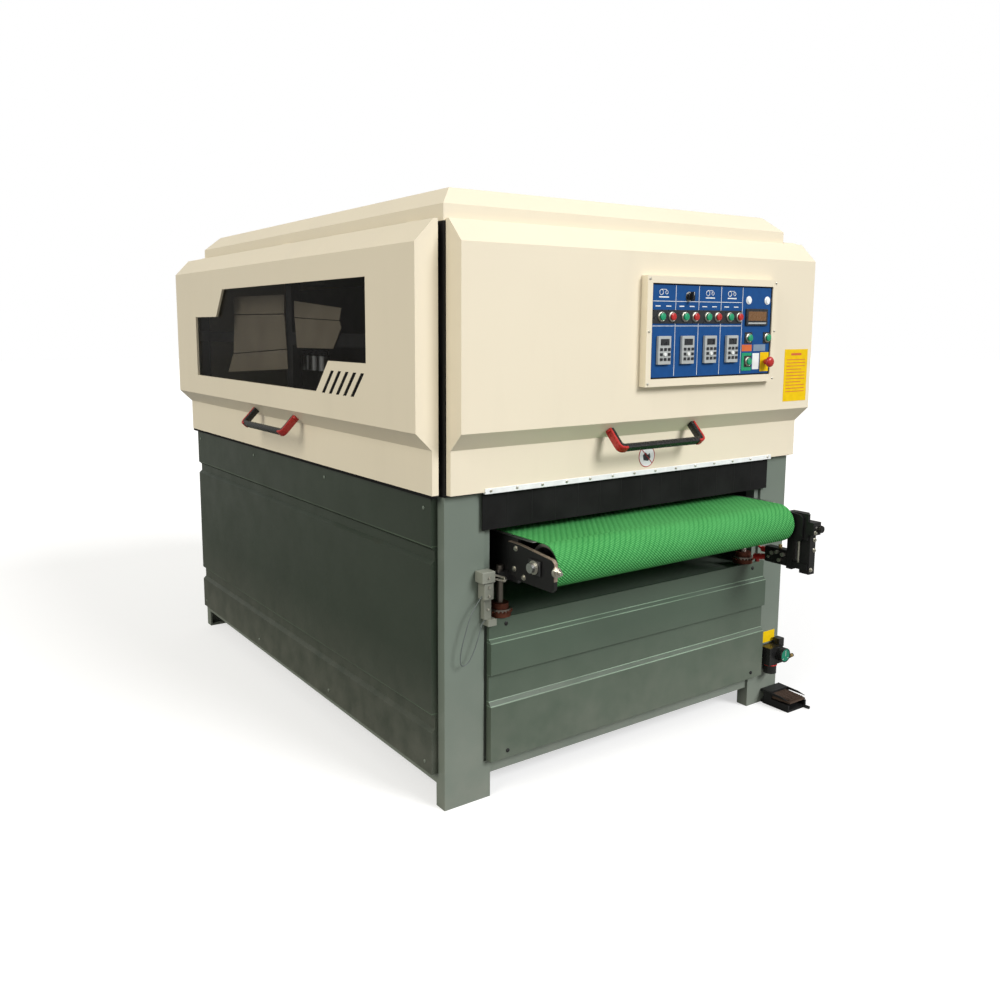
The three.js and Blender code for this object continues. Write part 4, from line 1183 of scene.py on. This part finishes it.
def build_regulator():
    """The label, gauge face, bowl ring and barbed nozzle of the air regulator."""
    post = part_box("base_frame")[0].y
    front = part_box("air_regulator")[0].y
    gauge = (0.798, front - 0.0002, 0.218)
    bowl_y = -1.1904
    boxes("regulator_label", "frame", "yellow_label",
          [((0.722, post - 0.0012, 0.258), (0.822, post, 0.306))], 0.0004)
    rods("gauge_face", "frame", "gauge_green",
         [((0.798, front + 0.0004, 0.218), (0.798, front - 0.0012, 0.218), 0.0255)], 0.0, 40)
    ring("gauge_rim", "frame", "black_plastic", gauge, (0, 1, 0), 0.0278, 0.0022, 40)
    boxes("gauge_needle", "frame", "panel_white", [
        ((0.7972, front - 0.0022, 0.214), (0.7988, front - 0.0012, 0.238)),
        ((0.780, front - 0.0018, 0.2042), (0.786, front - 0.0012, 0.2058)),
        ((0.810, front - 0.0018, 0.2042), (0.816, front - 0.0012, 0.2058)),
    ], 0.0)
    ring("bowl_ring", "frame", "red_plastic", (0.764, bowl_y, 0.174), (0, 0, 1), 0.0262, 0.0024, 36)
    mesh = bmesh.new()
    for x, radius in ((0.850, 0.0104), (0.866, 0.0100), (0.880, 0.0096), (0.894, 0.0092)):
        add_rod(mesh, (x, bowl_y, 0.182), (x + 0.012, bowl_y, 0.182), radius, 24, 0.0082)
    finish_mesh("nozzle_barbs", mesh, "frame", "brass")


def build_foot_switch():
    """Treads on the pedal, and the cheeks, hood and gland of its base."""
    low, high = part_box("foot_pedal")
    margin, ribs = 0.008, []
    for i in range(9):
        y = low.y + margin + 0.0105 * i
        ribs.append(((low.x + margin, y, high.z - 0.001), (high.x - margin, y + 0.0042, high.z + 0.0016)))
    boxes("pedal_ribs", "foot_pedal", "pedal_tread", ribs, 0.0005)
    base_low, base_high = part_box("foot_switch_base")
    mesh = bmesh.new()
    for x0, x1 in ((base_low.x, base_low.x + 0.006), (base_high.x - 0.006, base_high.x)):
        cheek = [(base_low.y + 0.004, base_high.z - 0.002), (base_low.y + 0.040, base_high.z + 0.006),
                 (base_high.y - 0.002, base_high.z + 0.010), (base_high.y - 0.002, base_high.z - 0.002)]
        add_prism(mesh, cheek, "x", x0, x1)
    add_box(mesh, (base_low.x + 0.006, base_high.y - 0.050, base_high.z + 0.0004),
            (base_high.x - 0.006, base_high.y - 0.002, base_high.z + 0.0095))
    finish_mesh("pedal_hood", mesh, "frame", "black_paint", 0.0010)
    gland_z = 0.0070
    start = (base_high.x - 0.016, base_low.y + 0.002, gland_z)
    end = (base_high.x - 0.012, base_low.y - 0.026, gland_z)
    rods("pedal_gland", "frame", "black_plastic", [(start, end, 0.0065)])


def build_window_interior():
    """What shows through the smoked window: inner sheet guards and the oscillation cylinders."""
    outside, inside = -0.8490, -0.8462
    for name, outlines in (
        ("rear_inner_guard", (
            [(0.034, 1.627), (0.602, 1.629), (0.608, 1.708), (0.030, 1.704)],
            [(0.016, 1.484), (0.628, 1.450), (0.602, 1.625), (0.034, 1.623)],
            [(0.010, 1.401), (0.706, 1.360), (0.634, 1.446), (0.016, 1.480)],
        )),
        ("front_inner_guard", (
            [(-0.466, 1.598), (-0.482, 1.642), (-0.068, 1.676), (-0.068, 1.611)],
            [(-0.410, 1.493), (-0.479, 1.570), (-0.467, 1.595), (-0.069, 1.608), (-0.086, 1.490)],
        )),
    ):
        prisms(name, "frame", "inner_guard", outlines, "x", outside, inside, 0.0006)
    x, foot, shoulder, top = -0.745, 1.395, 1.455, 1.478
    bodies, caps = [], []
    for y in (-0.110, -0.035, 0.040, 0.110):
        bodies.append(((x, y, foot), (x, y, shoulder), 0.020))
        caps.append(((x, y, shoulder), (x, y, top), 0.022))
    rods("oscillation_cylinders", "frame", "turned_aluminium", bodies, 0.001)
    rods("oscillation_cylinder_caps", "frame", "black_plastic", caps, 0.002)


def build_door_seals():
    """Black rubber along the lower edge of each side door."""
    for name in ("left_door", "right_door"):
        low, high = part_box(name)
        sign = -1 if low.x < 0 else 1
        outer = sign * (max(abs(low.x), abs(high.x)) - 0.0592)
        inner = sign * (min(abs(low.x), abs(high.x)) + 0.002)
        seal = sorted_box((outer, low.y + 0.003, low.z - 0.0105), (inner, high.y - 0.003, low.z - 0.0004))
        boxes(f"{name}_seal", name, "door_seal", [seal], 0.002)
    build_louvre_shade_sheets()


def build_louvre_shade_sheets():
    """Black sheets in the slots of the left door: painted shade for the dark inside seen through them."""
    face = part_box("left_door")[0].x
    half, slant, low, high = 0.0117, 0.078, 1.3394, 1.4216
    slots = []
    for i in range(5):
        head = -0.589 - 0.056 * i
        foot = head + slant
        slots.append([(head - half, high), (head + half, high), (foot + half, low), (foot - half, low)])
    # Painted shade: black sheets set behind the slots.
    prisms("louvre_painted_shade", "left_door", "door_seal", slots, "x", face + 0.0020, face + 0.0098)


def build_kick_screws():
    low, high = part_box("front_kick_panel")
    for node, sign in (("front_kick_panel", -1), ("rear_kick_panel", 1)):
        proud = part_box(node)[0 if sign < 0 else 1].y
        rows = ((proud, 0.160), (proud - sign * 0.014, 0.600))
        places = [(x, y, z) for y, z in rows for x in (low.x + 0.070, high.x - 0.070)]
        button_screws(f"{node}_screws", "frame", places, (0, sign, 0), 0.0070, 0.0035, "black_paint")


def build_side_screws():
    for sign, word in ((-1, "left"), (1, "right")):
        face = sign * -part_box("left_side_panel")[0].x
        places = [(face, y, z) for y in (-1.08, -0.36, 0.36, 1.08) for z in (0.150, 1.005)]
        button_screws(f"{word}_side_screws", "frame", places, (sign, 0, 0), 0.0060, 0.003, "grey_green")


# ---------------- stage

def build_stage():
    mesh = bmesh.new()
    bmesh.ops.create_grid(mesh, x_segments=1, y_segments=1, size=40.0)
    floor = finish_mesh("floor", mesh, None, "floor")


def sun_light(name, direction, strength, spread, color=(1, 1, 1)):
    """A wide soft source far away; direction points from the machine to it."""
    light = bpy.data.lights.new(name, "SUN")
    light.energy = strength
    light.angle = math.radians(spread)
    light.color = color
    lamp = bpy.data.objects.new(name, light)
    scene.collection.objects.link(lamp)
    lamp.rotation_euler = Vector(direction).to_track_quat("Z", "Y").to_euler()


def build_lights():
    world = bpy.data.worlds.new("studio")
    world.use_nodes = True
    tree = world.node_tree
    path = tree.nodes.new("ShaderNodeLightPath")
    mix = tree.nodes.new("ShaderNodeMix")
    mix.data_type = "RGBA"
    mix.inputs[6].default_value = (0.36, 0.36, 0.35, 1.0)
    mix.inputs[7].default_value = (1.0, 1.0, 1.0, 1.0)
    tree.links.new(path.outputs["Is Camera Ray"], mix.inputs[0])
    tree.links.new(mix.outputs[2], tree.nodes["Background"].inputs["Color"])
    scene.world = world
    sun_light("key", (0.30, -0.77, 0.54), 2.80, 26)
    sun_light("fill", (-0.80, -0.10, 0.55), 1.75, 40, (1.0, 0.965, 0.86))
    scene.view_settings.view_transform = "Standard"
    scene.view_settings.look = "None"


def build_camera():
    """The eye of a person standing off the front left corner."""
    camera = bpy.data.cameras.new("camera")
    camera.sensor_width = 36.0
    camera.lens = 33.13
    camera.shift_x = 0.0416
    camera.shift_y = -0.0454
    viewer = bpy.data.objects.new("camera", camera)
    scene.collection.objects.link(viewer)
    viewer.location = (-2.386, -3.530, 1.582)
    yaw, pitch = math.radians(33.94), math.radians(8.04)
    ahead = Vector((math.sin(yaw) * math.cos(pitch), math.cos(yaw) * math.cos(pitch), -math.sin(pitch)))
    viewer.rotation_euler = ahead.to_track_quat("-Z", "Y").to_euler()
    scene.camera = viewer


# ---------------- build

build_camera()
build_lights()
build_stage()
paint_frame()
build_conveyor_belt()
build_handles()
build_control_panel()
build_front_trim()
build_table_trim()
build_window_interior()
build_door_seals()
build_limit_switch()
build_jacks()
build_tracking_bracket()
build_regulator()
build_foot_switch()
build_kick_screws()
build_side_screws()
